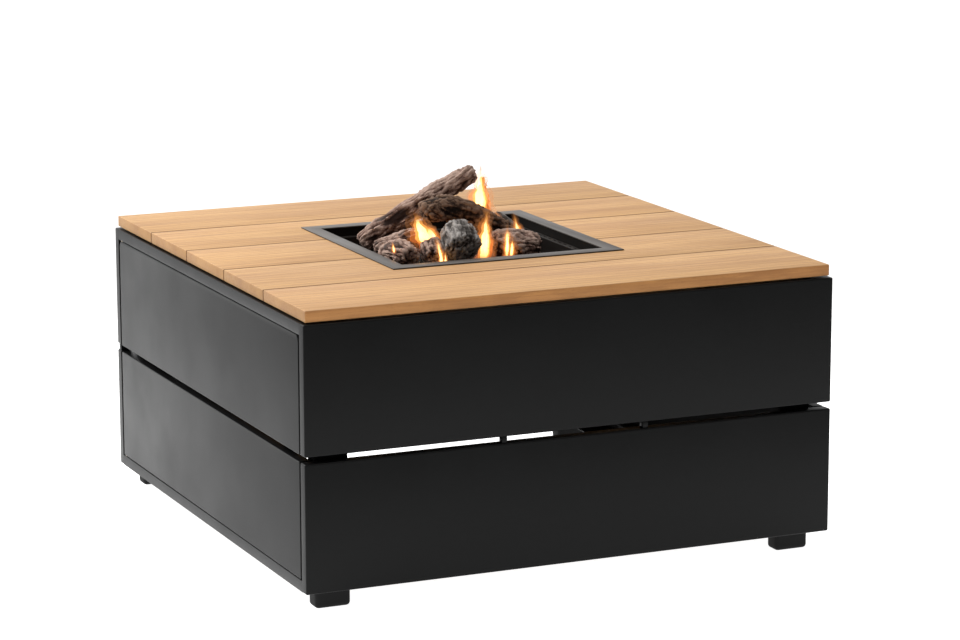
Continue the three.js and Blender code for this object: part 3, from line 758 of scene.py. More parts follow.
@dataclass
class Shells:
    """The folded walls, the rails and the door panels."""

    bend: float = 0.0028
    rail_bend: float = 0.0012
    lug_place: float = 0.134
    lug_width: float = 0.010
    lug_depth: float = 0.012
    corner_lug: float = 0.020
    outside: float = 0.4
    corners: dict[str, tuple[float, float]] = field(default_factory=lambda: {
        "door_upper_panel": (0.012, 0.003),
        "door_lower_panel": (0.003, 0.003),
    })
    trays: dict[str, Side] = field(default_factory=lambda: {
        "lower_front_panel": Side.PLUS_Y,
        "upper_front_panel": Side.PLUS_Y,
        "lower_back_panel": Side.MINUS_Y,
        "upper_back_panel": Side.MINUS_Y,
        "lower_right_panel": Side.MINUS_X,
        "upper_right_panel": Side.MINUS_X,
        "door_lower_panel": Side.PLUS_X,
        "door_upper_panel": Side.PLUS_X,
    })

    def fold(
        self, name: str, low: Vector, high: Vector, side: Side, corners: tuple[float, float] | None
    ) -> bpy.types.Object:
        """Folds one sheet into a tray.

        Args:
            name: The piece's name.
            low: The tray's lowest corner.
            high: Its highest corner.
            side: The way that its open side looks.
            corners: The radius of its outline's upper and lower corners, or None for the bend's own.

        Returns:
            The tray, with rounded bends.
        """
        axis, sign = side.value
        tray = block(name, low, high)
        deep = [high, low][sign < 0][axis]

        def is_upright(middle: Vector, along: Vector) -> bool:
            """Whether an edge runs from the face to the open side."""
            return abs(along[axis]) > ALIGNED

        def is_front(middle: Vector, along: Vector) -> bool:
            """Whether an edge lies round the face."""
            return abs(middle[axis] - deep) > (high - low)[axis] * 0.9 and abs(along[axis]) < 0.1

        if corners:
            middle_level = (low.z + high.z) / 2
            for radius, sign_z in zip(corners, (1, -1)):
                round_edges(
                    tray, lambda m, a: is_upright(m, a) and (m.z - middle_level) * sign_z > 0, radius, 5
                )
            round_edges(tray, is_front, self.rail_bend, 3)
        else:
            round_edges(tray, lambda m, a: is_upright(m, a) or is_front(m, a), self.bend, 4)
        inward = Vector((0, 0, 0))
        inward[axis] = -sign * ((high - low)[axis] - SHEET)
        sink(tray, lambda centre, normal: normal[axis] * sign > 0.99, (SHEET,), inward)
        smooth(tray, 50)
        return tray

    def make_trays(self) -> dict[str, bpy.types.Object]:
        """Folds every wall and door panel."""
        made = {}
        gap_low = box_of("upper_front_panel")[0].z
        for node, side in self.trays.items():
            low, high = box_of(node)
            if node in ("lower_front_panel", "lower_back_panel"):
                high.z = box_of("lower_right_panel")[1].z
            made[node] = self.fold(f"{node}_sheet", low, high, side, self.corners.get(node))
        plain = [(sign * self.lug_place, self.lug_width) for sign in (-1, 1)]
        end = made["lower_back_panel"].bound_box[6][0] - SHEET - self.corner_lug / 2
        ends = [(sign * end, self.corner_lug) for sign in (-1, 1)]
        for node, places in (("lower_front_panel", plain), ("lower_back_panel", plain + ends)):
            made[node] = gather(f"{node}_sheet", [made[node], *self.make_lugs(made[node], gap_low, places)])
        return made

    def make_lugs(
        self, wall: bpy.types.Object, gap_top: float, places: Sequence[tuple[float, float]]
    ) -> list[bpy.types.Object]:
        """The spacers that stand on a lower wall and carry the upper one.

        Args:
            wall: The lower wall.
            gap_top: The level of the upper wall's lowest edge.
            places: Each spacer's place along X and its width.

        Returns:
            The spacers.
        """
        low, high = (Vector(corner) for corner in (wall.bound_box[0], wall.bound_box[6]))
        middle = (low.y + high.y) / 2
        lugs = []
        for x, width in places:
            lug = block(
                "lug", (x - width / 2, middle - self.lug_depth / 2, high.z - SHEET / 2),
                (x + width / 2, middle + self.lug_depth / 2, gap_top - TOUCH),
            )
            soften(lug, 0.0006)
            lugs.append(lug)
        return lugs

    def make_rail(self, node: str) -> bpy.types.Object:
        """A square tube with open ends; a base rail also has its inward flange.

        Args:
            node: The CAD node that it stands for.

        Returns:
            The rail.
        """
        low, high = box_of(node)
        inward = -1 if high.x > 0 else 1
        depth = high.z - low.z
        tube_low, tube_high = low.copy(), high.copy()
        if inward > 0:
            tube_high.x = tube_low.x + depth
        else:
            tube_low.x = tube_high.x - depth
        tube = block(f"{node}_tube", tube_low, tube_high)
        round_edges(tube, lambda middle, along: abs(along.y) > ALIGNED, self.rail_bend, 3)
        pierce(tube, lambda centre, normal: abs(normal.y) > ALIGNED, SHEET)
        if high.x - low.x > depth * 1.1:
            start = tube_high.x - SHEET / 2 if inward > 0 else low.x
            end = high.x if inward > 0 else tube_low.x + SHEET / 2
            reach = box_of("corner_post_back_right")[0].y - TOUCH
            flange = block("flange", (start, -reach, low.z), (end, reach, low.z + SHEET))
            soften(flange, 0.0005)
            tube = gather(f"{node}_tube", [tube, flange])
        smooth(tube, 50)
        return tube

    def line_inside(self, tray: bpy.types.Object, lining: bpy.types.Material) -> None:
        """Gives the faces of a tray that look into the cabinet their thinner coat.

        Args:
            tray: The wall or door panel.
            lining: The coat of the inside.
        """
        tray.data.materials.append(lining)
        for face in tray.data.polygons:
            for place_along, turn in zip(face.center.xy, face.normal.xy):
                if abs(turn) > 0.7 and abs(place_along) > self.outside and turn * place_along < 0:
                    face.material_index = 1

    def build(self, coat: bpy.types.Material, lining: bpy.types.Material) -> None:
        """Makes and dresses the shells.

        Args:
            coat: The powder coat.
            lining: The coat of the inside.
        """
        trays = self.make_trays()
        low, high = box_of("control_recess")
        clear = Vector((0.01, TOUCH, TOUCH))
        trays["upper_right_panel"] = cut(trays["upper_right_panel"], block("hole", low - clear, high + clear))
        smooth(trays["upper_right_panel"], 50)
        for node, tray in trays.items():
            place(tray, "door" if node.startswith("door") else "table", coat, "powder_coat", node)
            self.line_inside(tray, lining)
        for node in ("left_top_rail", "right_top_rail", "left_base_rail", "right_base_rail"):
            place(self.make_rail(node), "table", coat, "powder_coat", node)


@dataclass
class Supports:
    """The corner posts, the rubber feet and the battens."""

    wall: float = 0.002
    post_round: float = 0.003
    foot_round: float = 0.007
    sole_rims: tuple[float, float] = (0.006, 0.003)
    groove: float = 0.0015
    plug: tuple[float, float] = (0.020, 0.012)
    corners: tuple[str, ...] = ("front_left", "front_right", "back_left", "back_right")

    def make_post(self, node: str) -> bpy.types.Object:
        """A square tube that stands on its foot."""
        post = block(f"{node}_tube", *box_of(node))
        round_edges(post, lambda middle, along: abs(along.z) > ALIGNED, self.post_round, 4)
        pierce(post, lambda centre, normal: abs(normal.z) > ALIGNED, self.wall)
        smooth(post, 50)
        return post

    def make_foot(self, corner: str) -> bpy.types.Object:
        """A moulded foot with a grooved sole and the plug that holds it in its post."""
        low, high = box_of(f"foot_{corner}")
        top = box_of(f"corner_post_{corner}")[0].z - TOUCH
        foot = block("foot", low, (high.x, high.y, top))
        round_edges(foot, lambda middle, along: middle.z < top - MM, self.foot_round, 5)
        sink(foot, lambda centre, normal: normal.z < -0.995, self.sole_rims, (0, 0, self.groove))
        post_low, post_high = box_of(f"corner_post_{corner}")
        middle = (post_low + post_high) / 2
        half = Vector((*self.plug, 0))
        plug = block("plug", (*(middle - half).xy, top - MM), (*(middle + half).xy, high.z))
        soften(plug, 0.002, 3)
        foot = gather(f"foot_{corner}_rubber", [foot, plug])
        smooth(foot, 40)
        return foot

    def build(self, coat: bpy.types.Material, rubber: bpy.types.Material, wood: bpy.types.Material) -> None:
        """Makes and dresses the posts, feet and battens.

        Args:
            coat: The posts' coat.
            rubber: The feet's rubber.
            wood: The battens' teak.
        """
        for corner in self.corners:
            node = f"corner_post_{corner}"
            place(self.make_post(node), "table", coat, "inside_coat", node)
            place(self.make_foot(corner), "table", rubber, "rubber", f"foot_{corner}")
        for node in (f"batten_{side}_{row}" for side in ("left", "right") for row in ("inner", "outer")):
            batten = block(f"{node}_wood", *box_of(node))
            soften(batten, 0.0015)
            place(batten, "table", wood, "teak", node)


# ---------------------------------------------------------------- the teak top
@dataclass
class TeakTop:
    """The planks, each with its own grain and tone."""

    edge_round: float = 0.0018
    tones: tuple[float, ...] = (1.00, 0.96, 1.03, 0.98, 1.02, 0.97)
    names: tuple[str, ...] = ("plank_1", "plank_2", "plank_3_left", "plank_3_right", "plank_4", "plank_5")

    def opening(self) -> tuple[Vector, Vector]:
        """The hole for the burner, from the ends of the cut plank."""
        low, high = box_of("plank_3_left"), box_of("plank_3_right")
        half = (high[0].x - low[1].x) / 2
        return Vector((-half, -half, low[0].z - 0.01)), Vector((half, half, low[1].z + 0.01))

    def make_plank(self, node: str) -> bpy.types.Object:
        """One plank, cut for the burner where it meets it, with eased edges."""
        plank = block(f"{node}_teak", *box_of(node))
        if node in ("plank_2", "plank_4"):
            cut(plank, block("burner_hole", *self.opening()))
        soften(plank, self.edge_round, 3)
        self.mark_joints(plank)
        return plank

    def mark_joints(self, plank: bpy.types.Object) -> None:
        """Marks the long edges that face a neighbour, where dirt settles and where the gap's shade is
        painted.
        """
        edge = box_of("plank_5")[1].y
        marks = []
        ys = [vertex.co.y for vertex in plank.data.vertices]
        low, high = min(ys), max(ys)
        for y in ys:
            near_low = y - low < self.edge_round * 0.6 and low > -edge + 0.01
            near_high = high - y < self.edge_round * 0.6 and high < edge - 0.01
            marks.append(float(near_low or near_high))
        attribute = plank.data.attributes.new("joint", "FLOAT", "POINT")
        attribute.data.foreach_set("value", marks)

    def build(self) -> None:
        """Makes and dresses the planks."""
        for i, (node, tone) in enumerate(zip(self.names, self.tones)):
            finish = Teak(f"teak_{node}", shift=1.7 + 3.1 * i, tone=tone).build()
            place(self.make_plank(node), "table", finish, "teak", node)


# ---------------------------------------------------------------- the burner
def square_ring(name: str, outer: float, inner: float, low: float, high: float) -> bpy.types.Object:
    """A square ring about the Z axis, from its half widths.

    Args:
        name: The ring's name.
        outer: Half of its outer width.
        inner: Half of the clear opening.
        low: Its lower level.
        high: Its upper level.

    Returns:
        The ring.
    """
    ring = block(name, (-outer, -outer, low), (outer, outer, high))
    pierce(ring, lambda centre, normal: abs(normal.z) > ALIGNED, outer - inner)
    return ring


@dataclass
class Burner:
    """The black frame on the planks, the vented pan in it, and the parts under the stones."""

    ledge: float = 0.012
    ledge_drop: float = 0.020
    slots: int = 16
    slot_width: float = 0.003
    slot_margin: float = 0.012
    bridge: float = 0.2
    slot_share: float = 0.6

    def make_frame(self) -> bpy.types.Object:
        """The frame: a flat rim, a skirt and a ledge that carries the pan."""
        low, high = box_of("burner_frame")
        opening = self.opening
        rim = square_ring("burner_frame_steel", high.x, opening, high.z - SHEET, high.z)
        skirt = square_ring("skirt", opening + SHEET, opening, low.z, high.z - SHEET / 2)
        ledge_top = high.z - self.ledge_drop
        ledge = square_ring("ledge", opening + SHEET / 2, opening - self.ledge, ledge_top - SHEET, ledge_top)
        frame_piece = unite(rim, skirt, ledge)
        soften(frame_piece, 0.0005, 2, 60)
        return frame_piece

    @property
    def opening(self) -> float:
        """Half of the frame's clear opening: the pan's rim and its clearance."""
        return box_of("burner_pan")[1].x + MM

    def make_pan(self) -> bpy.types.Object:
        """The pan: a deep tray with a slotted rim that lies on the ledge."""
        low, high = box_of("burner_pan")
        outer = self.opening - self.ledge - MM
        tray = block("burner_pan_steel", (-outer, -outer, low.z), (outer, outer, high.z))
        sink(tray, lambda centre, normal: normal.z > ALIGNED, (SHEET,), (0, 0, low.z + SHEET - high.z))
        rim = square_ring("rim", high.x, outer - SHEET, high.z - SHEET, high.z)
        pan = unite(tray, rim)
        slots = []
        first = self.slot_margin - outer
        step = -2 * first / self.slots
        middle = outer + (high.x - outer) / 2
        for i in range(self.slots):
            near = first + (i + self.bridge) * step
            far = near + self.slot_share * step
            for sign in (-1, 1):
                y = sorted((sign * (middle - self.slot_width / 2), sign * (middle + self.slot_width / 2)))
                for lowest, highest in (((near, y[0]), (far, y[1])), ((y[0], near), (y[1], far))):
                    slots.append(block("slot", (*lowest, high.z - 5 * MM), (*highest, high.z + 5 * MM)))
        pan = cut(pan, gather("slots", slots))
        soften(pan, 0.0004, 2, 60)
        return pan

    def build(self, coat: bpy.types.Material, dark: bpy.types.Material, soot_and_shade: bpy.types.Material) -> None:
        """Makes and dresses the frame and the pan.

        Args:
            coat: The coat of the frame.
            dark: The coat of the pan.
            soot_and_shade: The dark coat on the frame's skirt, under its flange: soot with painted shade for
                the well.
        """
        skirted = self.make_frame()
        place(skirted, "table", coat, "burner_black", "burner_frame")
        # Faces below the table top, the skirt in the well, take the dark coat: soot with painted shade.
        skirted.data.materials.append(soot_and_shade)
        table_top = box_of("plank_1")[1].z
        for face in skirted.data.polygons:
            if face.center.z < table_top:
                face.material_index = 1
        place(self.make_pan(), "table", dark, "burner_black", "burner_pan")


# ---------------------------------------------------------------- the logs and the stones
@dataclass(frozen=True)
class LogShape:
    """A log's line and girth, in millimetres from the middle of the burner and the top of the stones."""

    name: str
    line: tuple[Point, ...]
    start_radius: float
    end_radius: float
    skin: LogSkin
    slot: str
    ridges: float = 3.6
    cracks: float = 2.2
    knots: int = 2
    heat: float = 0.35


class Roughness(Enum):
    """The kinds of surface relief that a log can have."""

    RIDGES = "MUSGRAVE"
    CRACKS = "VORONOI"
    LUMPS = "CLOUDS"


@dataclass
class LogSet:
    """The ceramic logs and the loose lava stones on the grate."""

    voxel: float = 0.0017
    seed: int = 11
    stone_rows: int = 15
    stone_size: float = 0.0135
    swell: float = 0.0012
    end_share: float = 0.86
    billet_steps: int = 14
    billet_sides: int = 28
    grain: Point = (0.050, 0.0085, 0.0085)
    crack_grain: Point = (0.014, 0.008, 0.008)
    lumps: float = 0.0080
    heat_height: float = 0.045
    heat_reach: float = 0.17
    heat_forward: float = 0.03
    stone_heat: float = 0.55
    stone_flaws: float = 0.28
    thinned: float = 0.45
    logs: tuple[LogShape, ...] = ()

    @property
    def level(self) -> float:
        """The top of the stones."""
        return box_of("lava_stone_bed")[1].z

    def route(self, shape: LogShape) -> list[Vector]:
        """A smooth line through a log's points.

        Args:
            shape: The log's line and girth.

        Returns:
            The line's points, in metres.
        """
        points = [Vector((x * MM, y * MM, self.level + z * MM)) for x, y, z in shape.line]
        padded = [2 * points[0] - points[1], *points, 2 * points[-1] - points[-2]]
        line = []
        steps = 12
        for a, b, c, d in zip(padded, padded[1:], padded[2:], padded[3:]):
            for i in range(steps):
                t = i / steps
                line.append(
                    0.5 * ((2 * b) + (c - a) * t + (2 * a - 5 * b + 4 * c - d) * t ** 2
                           + (3 * b - a - 3 * c + d) * t ** 3)
                )
        return [*line, points[-1]]

    def guide(self, line: Sequence[Vector]) -> bpy.types.Object:
        """A curve that a straight log can be bent along.

        Args:
            line: The curve's points.

        Returns:
            The curve.
        """
        data = bpy.data.curves.new("guide", "CURVE")
        data.dimensions = "3D"
        data.twist_mode = "Z_UP"
        spline = data.splines.new("POLY")
        spline.points.add(len(line) - 1)
        for point, place_ in zip(spline.points, line):
            point.co = (*place_, 1)
        curve = bpy.data.objects.new("guide", data)
        bpy.context.scene.collection.objects.link(curve)
        return curve

    def relief_texture(self, kind: Roughness, scale: float) -> bpy.types.Texture:
        """A height texture for one kind of relief.

        Args:
            kind: The relief.
            scale: Its size in the units of the empty that guides it.

        Returns:
            The texture.
        """
        texture = bpy.data.textures.new(kind.name.lower(), kind.value)
        texture.noise_scale = scale
        if kind is Roughness.RIDGES:
            texture.musgrave_type = "RIDGED_MULTIFRACTAL"
            texture.octaves = 5
            texture.lacunarity = 2.1
            texture.dimension_max = 0.8
            texture.noise_intensity = 0.55
        elif kind is Roughness.CRACKS:
            texture.weight_1 = -1.0
            texture.weight_2 = 1.0
            texture.noise_intensity = 1.6
        else:
            texture.noise_depth = 4
        return texture

    def roughen(
        self, piece: bpy.types.Object, kind: Roughness, scale: float, depth: float, guide: bpy.types.Object
    ) -> None:
        """Displaces a piece by one kind of relief, along the log's own grain.

        Args:
            piece: The log.
            kind: The relief.
            scale: The texture's size in the guide's units.
            depth: The full height of the relief in metres.
            guide: The empty whose axes the grain follows.
        """
        modify(
            piece, "DISPLACE", texture=self.relief_texture(kind, scale), texture_coords="OBJECT",
            texture_coords_object=guide, strength=depth, mid_level=0.5,
        )

    def grow(self, shape: LogShape, dice: random.Random) -> bpy.types.Object:
        """Grows one log: a stepped straight billet, bent along its line and given its bark.

        Args:
            shape: The log's line and girth.
            dice: The seeded source of chance.

        Returns:
            The log, with its relief and its heat kept on its points.
        """
        line = self.route(shape)
        length = sum((b - a).length for a, b in zip(line, line[1:]))
        start, end = shape.start_radius * MM, shape.end_radius * MM
        billet = drum(shape.name, (0, 0, 0), (length * 0.06, 0, 0), start * self.end_share, self.billet_sides)
        choose(billet, "FACE", lambda centre, normal: normal.x > ALIGNED)
        steps = self.billet_steps
        size = start * self.end_share
        for i in range(1, steps + 1):
            t = i / steps
            taper = start + (end - start) * t
            ease = self.end_share if i == steps else 1.0
            wanted = taper * ease * dice.uniform(0.94, 1.05)
            bpy.ops.mesh.extrude_region_move(
                TRANSFORM_OT_translate={"value": (length * 0.94 / steps, 0, 0)}
            )
            ratio = wanted / size
            bpy.ops.transform.resize(value=(1, ratio * dice.uniform(0.96, 1.04), ratio))
            size = wanted
        deselect()
        choose(billet, "FACE", lambda centre, normal: abs(normal.x) > ALIGNED)
        bpy.ops.mesh.inset(thickness=min(start, end) * 0.25, use_boundary=True)
        bpy.ops.transform.resize(
            value=(1 + 0.10 * min(start, end) / length, 1, 1), center_override=(length / 2, 0, 0)
        )
        deselect()
        modify(billet, "SUBSURF", levels=1, render_levels=1)
        for i in range(shape.knots):
            spot = length * dice.uniform(0.2, 0.8)
            turn = dice.uniform(0, 2 * math.pi)
            girth = (start + end) / 2
            reach = Vector((0.25 * girth, math.cos(turn) * girth * 1.12, math.sin(turn) * girth * 1.12))
            knot = drum("knot", (spot, 0, 0), Vector((spot, 0, 0)) + reach, girth * 0.42, 16)
            billet = unite(billet, knot)
        guide = self.guide(line)
        modify(billet, "REMESH", mode="VOXEL", voxel_size=self.voxel)
        modify(billet, "SMOOTH", factor=0.5, iterations=4)
        modify(billet, "CURVE", object=guide, deform_axis="POS_X")
        bpy.data.objects.remove(guide)
        settle(billet, shape.name)
        grain = bpy.data.objects.new("grain", None)
        bpy.context.scene.collection.objects.link(grain)
        grain.rotation_euler = (line[-1] - line[0]).to_track_quat("X", "Z").to_euler()
        grain.scale = self.grain
        grain.location = Vector((dice.uniform(-1, 1), dice.uniform(-1, 1), dice.uniform(-1, 1)))
        bpy.context.view_layer.update()
        before = self.points_of(billet)
        normals = self.normals_of(billet)
        self.roughen(billet, Roughness.LUMPS, 3.0, self.lumps, grain)
        self.roughen(billet, Roughness.RIDGES, 0.9, shape.ridges * MM, grain)
        grain.scale = self.crack_grain
        bpy.context.view_layer.update()
        self.roughen(billet, Roughness.CRACKS, 0.9, shape.cracks * MM, grain)
        bpy.data.objects.remove(grain)
        lift = ((self.points_of(billet) - before) * normals).sum(1)
        modify(billet, "DISPLACE", strength=float(self.swell - lift.mean()), mid_level=0.0)
        low, high = np.percentile(lift, (4, 96))
        self.keep(billet, "relief", np.clip((lift - low) / (high - low), 0, 1))
        self.keep(billet, "heat", self.heat_of(billet, shape.heat))
        smooth(billet, 70)
        return billet

    def heat_of(self, piece: bpy.types.Object, amount: float) -> np.ndarray:
        """How hot each point of a piece is: most near the stones and the middle of the burner.

        Args:
            piece: The piece.
            amount: The greatest heat.

        Returns:
            One value for each point.
        """
        points = self.points_of(piece)
        near = 1 - np.clip((points[:, 2] - self.level) / self.heat_height, 0, 1)
        away = np.hypot(points[:, 0], points[:, 1] + self.heat_forward)
        middle = 1 - np.clip(away / self.heat_reach, 0, 1)
        return amount * near * (0.35 + 0.65 * middle)

    @staticmethod
    def points_of(piece: bpy.types.Object) -> np.ndarray:
        """A mesh's points."""
        values = np.zeros(len(piece.data.vertices) * 3, np.float32)
        piece.data.vertices.foreach_get("co", values)
        return values.reshape(-1, 3)

    @staticmethod
    def normals_of(piece: bpy.types.Object) -> np.ndarray:
        """A mesh's point normals."""
        values = np.zeros(len(piece.data.vertices) * 3, np.float32)
        piece.data.vertex_normals.foreach_get("vector", values)
        return values.reshape(-1, 3)

    @staticmethod
    def keep(piece: bpy.types.Object, name: str, values: np.ndarray) -> None:
        """Keeps one value for each point of a mesh.

        Args:
            piece: The piece.
            name: The name that the values are kept under.
            values: The values.
        """
        attribute = piece.data.attributes.new(name, "FLOAT", "POINT")
        attribute.data.foreach_set("value", values.astype(np.float32))

    def make_stone(self, seed: int) -> bpy.types.Object:
        """One broken stone: a ball pulled out of true, with flats and corners.

        Args:
            seed: The seed of its shape.

        Returns:
            The stone, of about unit radius.
        """
        deselect()
        bpy.ops.mesh.primitive_ico_sphere_add(subdivisions=2, radius=1)
        stone = settle(bpy.context.object, "stone")
        activate(stone)
        bpy.ops.object.mode_set(mode="EDIT")
        bpy.ops.mesh.select_all(action="SELECT")
        bpy.ops.transform.vertex_random(offset=self.stone_flaws, seed=seed)
        bpy.ops.mesh.select_all(action="DESELECT")
        deselect()
        return stone

    def scatter(self, dice: random.Random) -> bpy.types.Object:
        """Lays two layers of stones over the grate, joined as one loose bed.

        Args:
            dice: The seeded source of chance.

        Returns:
            The bed.
        """
        low, high = box_of("lava_stone_bed")
        kinds = [self.make_stone(seed) for seed in range(5)]
        half = high.x - self.stone_size
        pitch = 2 * half / (self.stone_rows - 1)
        stones = []
        for layer, level in enumerate((low.z + self.stone_size * 0.75, high.z - self.stone_size * 0.95)):
            for i in range(self.stone_rows):
                for j in range(self.stone_rows):
                    size = self.stone_size * dice.uniform(0.75, 1.1)
                    spot = Vector((
                        -half + i * pitch + dice.uniform(-0.3, 0.3) * pitch,
                        -half + j * pitch + dice.uniform(-0.3, 0.3) * pitch,
                        level + dice.uniform(-0.15, 0.15) * self.stone_size,
                    ))
                    spot.x = max(-half, min(half, spot.x))
                    spot.y = max(-half, min(half, spot.y))
                    if max(abs(spot.x), abs(spot.y)) > half * 0.93 and dice.random() < self.thinned:
                        continue
                    turn = Euler([dice.uniform(0, 2 * math.pi) for _ in range(3)]).to_matrix().to_4x4()
                    depth, height = size * dice.uniform(0.7, 0.95), size * dice.uniform(0.6, 0.9)
                    stretch = Matrix.Diagonal((size, depth, height, 1))
                    matrix = Matrix.Translation(spot) @ turn @ stretch
                    stones.append(copy_of(dice.choice(kinds), f"stone_{layer}_{i}_{j}", matrix))
        for kind in kinds:
            bpy.data.objects.remove(kind)
        bed = gather("lava_stones", stones)
        rng = np.random.default_rng(self.seed)
        self.keep(bed, "relief", rng.uniform(0.1, 0.9, len(bed.data.vertices)))
        self.keep(bed, "heat", self.heat_of(bed, self.stone_heat))
        return bed

    def build(self, lava: bpy.types.Material) -> None:
        """Makes and dresses the logs and the stones.

        Args:
            lava: The stones' skin.
        """
        dice = random.Random(self.seed)
        skins = {}
        for shape in self.logs:
            if shape.skin.name not in skins:
                skins[shape.skin.name] = shape.skin.build()
            piece = self.grow(shape, dice)
            piece.name = f"{shape.name}_ceramic"
            place(piece, "grate_and_logs", skins[shape.skin.name], shape.slot, shape.name)
        place(self.scatter(dice), "grate_and_logs", lava, "lava", "lava_stone_bed")


LOGS = (
    LogShape("log_long", ((-152, 96, 26), (-110, 72, 61), (-62, 46, 97), (-26, 28, 123), (30, 4, 157)),
             20, 17, BARK, "bark_ceramic", ridges=6.0, cracks=2.2, knots=3),
    LogShape("log_cross", ((-84, -28, 98), (-44, -28, 103), (8, -18, 90), (70, 0, 58), (130, 16, 22)),
             22, 16, CHAR, "charred_ceramic", ridges=4.5, cracks=4.0, knots=1),
    LogShape("log_stump", ((-35, -68, 66), (-41, -94, 52), (-42, -114, 40)),
             31, 32, ASH, "ash_ceramic", ridges=5.0, cracks=3.5, knots=1),
    LogShape("log_left_back", ((-146, 44, 22), (-112, 20, 36), (-84, 0, 50)),
             17, 16, BARK, "bark_ceramic", ridges=5.0, cracks=2.5),
    LogShape("log_left_front", ((-150, -20, 24), (-144, -54, 32), (-138, -90, 26)),
             22, 21, BARK, "bark_ceramic", ridges=6.0, cracks=3.0, knots=3),
    LogShape("log_short", ((-87, -70, 46), (-93, -98, 26)),
             20, 20, BARK, "bark_ceramic", ridges=5.0, cracks=2.5, knots=1),
    LogShape("log_right", ((32, -72, 32), (72, -76, 35), (118, -86, 26)),
             28, 23, BARK, "bark_ceramic", ridges=5.5, cracks=3.5, knots=2),
    LogShape("log_back", ((158, 80, 18), (124, 58, 44), (88, 38, 68)),
             12, 11, ASH, "ash_ceramic", ridges=3.5, cracks=2.0, knots=1),
)


# ---------------------------------------------------------------- the fire
@dataclass(frozen=True)
class Tongue:
    """A flame's foot and tip, in millimetres from the middle of the burner and the top of the stones."""

    foot: Point
    tip: Point
    girth: float
    sway: float = 0.25


@dataclass
class Fire:
    """The flames between the logs, each a tongue made of thin layers, one inside the other."""

    tongues: tuple[Tongue, ...]
    layers: tuple[tuple[float, FlameSkin], ...]
    steps: int = 14
    sides: int = 20
    flicker_size: float = 0.016
    flicker_depth: float = 1.3

    @property
    def level(self) -> float:
        """The top of the stones."""
        return box_of("lava_stone_bed")[1].z

    def make_tongue(self, tongue: Tongue, share: float) -> bpy.types.Object:
        """One layer of a tongue: a thread drawn upwards ring by ring, widest below its middle.

        Args:
            tongue: The flame's place and girth.
            share: The layer's part of the whole girth and height.

        Returns:
            The layer, with its rise from foot to tip kept on its points.
        """
        foot = Vector(tongue.foot) * MM + Vector((0, 0, self.level))
        reach = (Vector(tongue.tip) - Vector(tongue.foot)) * MM
        foot += reach * (1 - share) * 0.2
        reach *= share ** 0.5
        girth = tongue.girth * MM * share
        aside = Vector((0.8, 0.6, 0)) * girth * tongue.sway

        def middle(t: float) -> Vector:
            """The middle of the ring at a share of the height."""
            return foot + reach * t + aside * math.sin(t * 5.5) * t

        def width(t: float) -> float:
            """The radius of that ring."""
            return girth * max(0.04, math.sin(math.pi * t ** 0.62) ** 0.85 * (1 - 0.25 * t))

        first = 0.5 / self.steps
        piece = drum("flame", foot, middle(first), width(first), self.sides)
        up = reach.normalized()
        choose(piece, "FACE", lambda centre, normal: normal.dot(up) > ALIGNED)
        for i in range(1, self.steps + 1):
            before, now = max(first, (i - 1) / self.steps), i / self.steps
            if now <= before:
                continue
            bpy.ops.mesh.extrude_region_move(TRANSFORM_OT_translate={"value": middle(now) - middle(before)})
            ratio = width(now) / width(before)
            bpy.ops.transform.resize(value=(ratio, ratio, ratio))
        deselect()
        modify(piece, "SUBSURF", levels=1, render_levels=1)
        flicker = bpy.data.textures.new("flicker", "CLOUDS")
        flicker.noise_scale = self.flicker_size
        modify(piece, "DISPLACE", texture=flicker, strength=girth * self.flicker_depth, mid_level=0.5)
        heights = LogSet.points_of(piece)[:, 2]
        LogSet.keep(piece, "rise", np.clip((heights - foot.z) / reach.z, 0, 1))
        smooth(piece, 180)
        return piece

    def build(self) -> None:
        """Makes and dresses each layer of all the tongues."""
        for share, skin in self.layers:
            layer = gather(skin.name, [self.make_tongue(tongue, share) for tongue in self.tongues])
            place(layer, "grate_and_logs", skin.build(), None)


FIRE = Fire(
    tongues=(
        Tongue((5, -91, 4), (16, -90, 112), 13),
        Tongue((12, -88, 8), (20, -88, 84), 9, 0.5),
        Tongue((46, 24, 62), (56, 26, 176), 17, 0.20),
        Tongue((56, 30, 62), (66, 32, 140), 12, 0.35),
        Tongue((46, -108, 12), (50, -104, 78), 8),
        Tongue((54, -107, 14), (60, -105, 56), 6, 0.5),
        Tongue((92, -70, 28), (80, -66, 92), 8, 0.4),
        Tongue((86, -72, 28), (92, -70, 70), 7, 0.4),
        Tongue((-90, -58, 34), (-112, -58, 106), 17, 0.30),
        Tongue((-76, -62, 34), (-88, -60, 84), 13, 0.45),
        Tongue((-87, -121, 8), (-95, -119, 70), 6, 0.7),
        Tongue((-82, -122, 6), (-80, -121, 44), 5, 0.5),
        Tongue((-168, -92, 38), (-171, -92, 62), 4),
        Tongue((78, 2, 20), (74, 2, 92), 11),
    ),
    layers=(
        (1.60, FlameSkin("flame_haze", (1.0, 0.30, 0.08), (1.0, 0.42, 0.16), 1.0, 0.09)),
        (1.15, FlameSkin("flame_edge", (1.0, 0.20, 0.03), (1.0, 0.32, 0.06), 1.8, 0.17)),
        (0.80, FlameSkin("flame_body", (1.0, 0.38, 0.07), (1.0, 0.45, 0.10), 3.0, 0.28)),
        (0.50, FlameSkin("flame_heart", (1.0, 0.64, 0.24), (1.0, 0.66, 0.28), 7.0, 0.50)),
    ),
)


# ---------------------------------------------------------------- the controls
def looks_right(centre: Vector, normal: Vector) -> bool:
    """Whether a face looks to the right, out of the wall with the controls."""
    return normal.x > ALIGNED


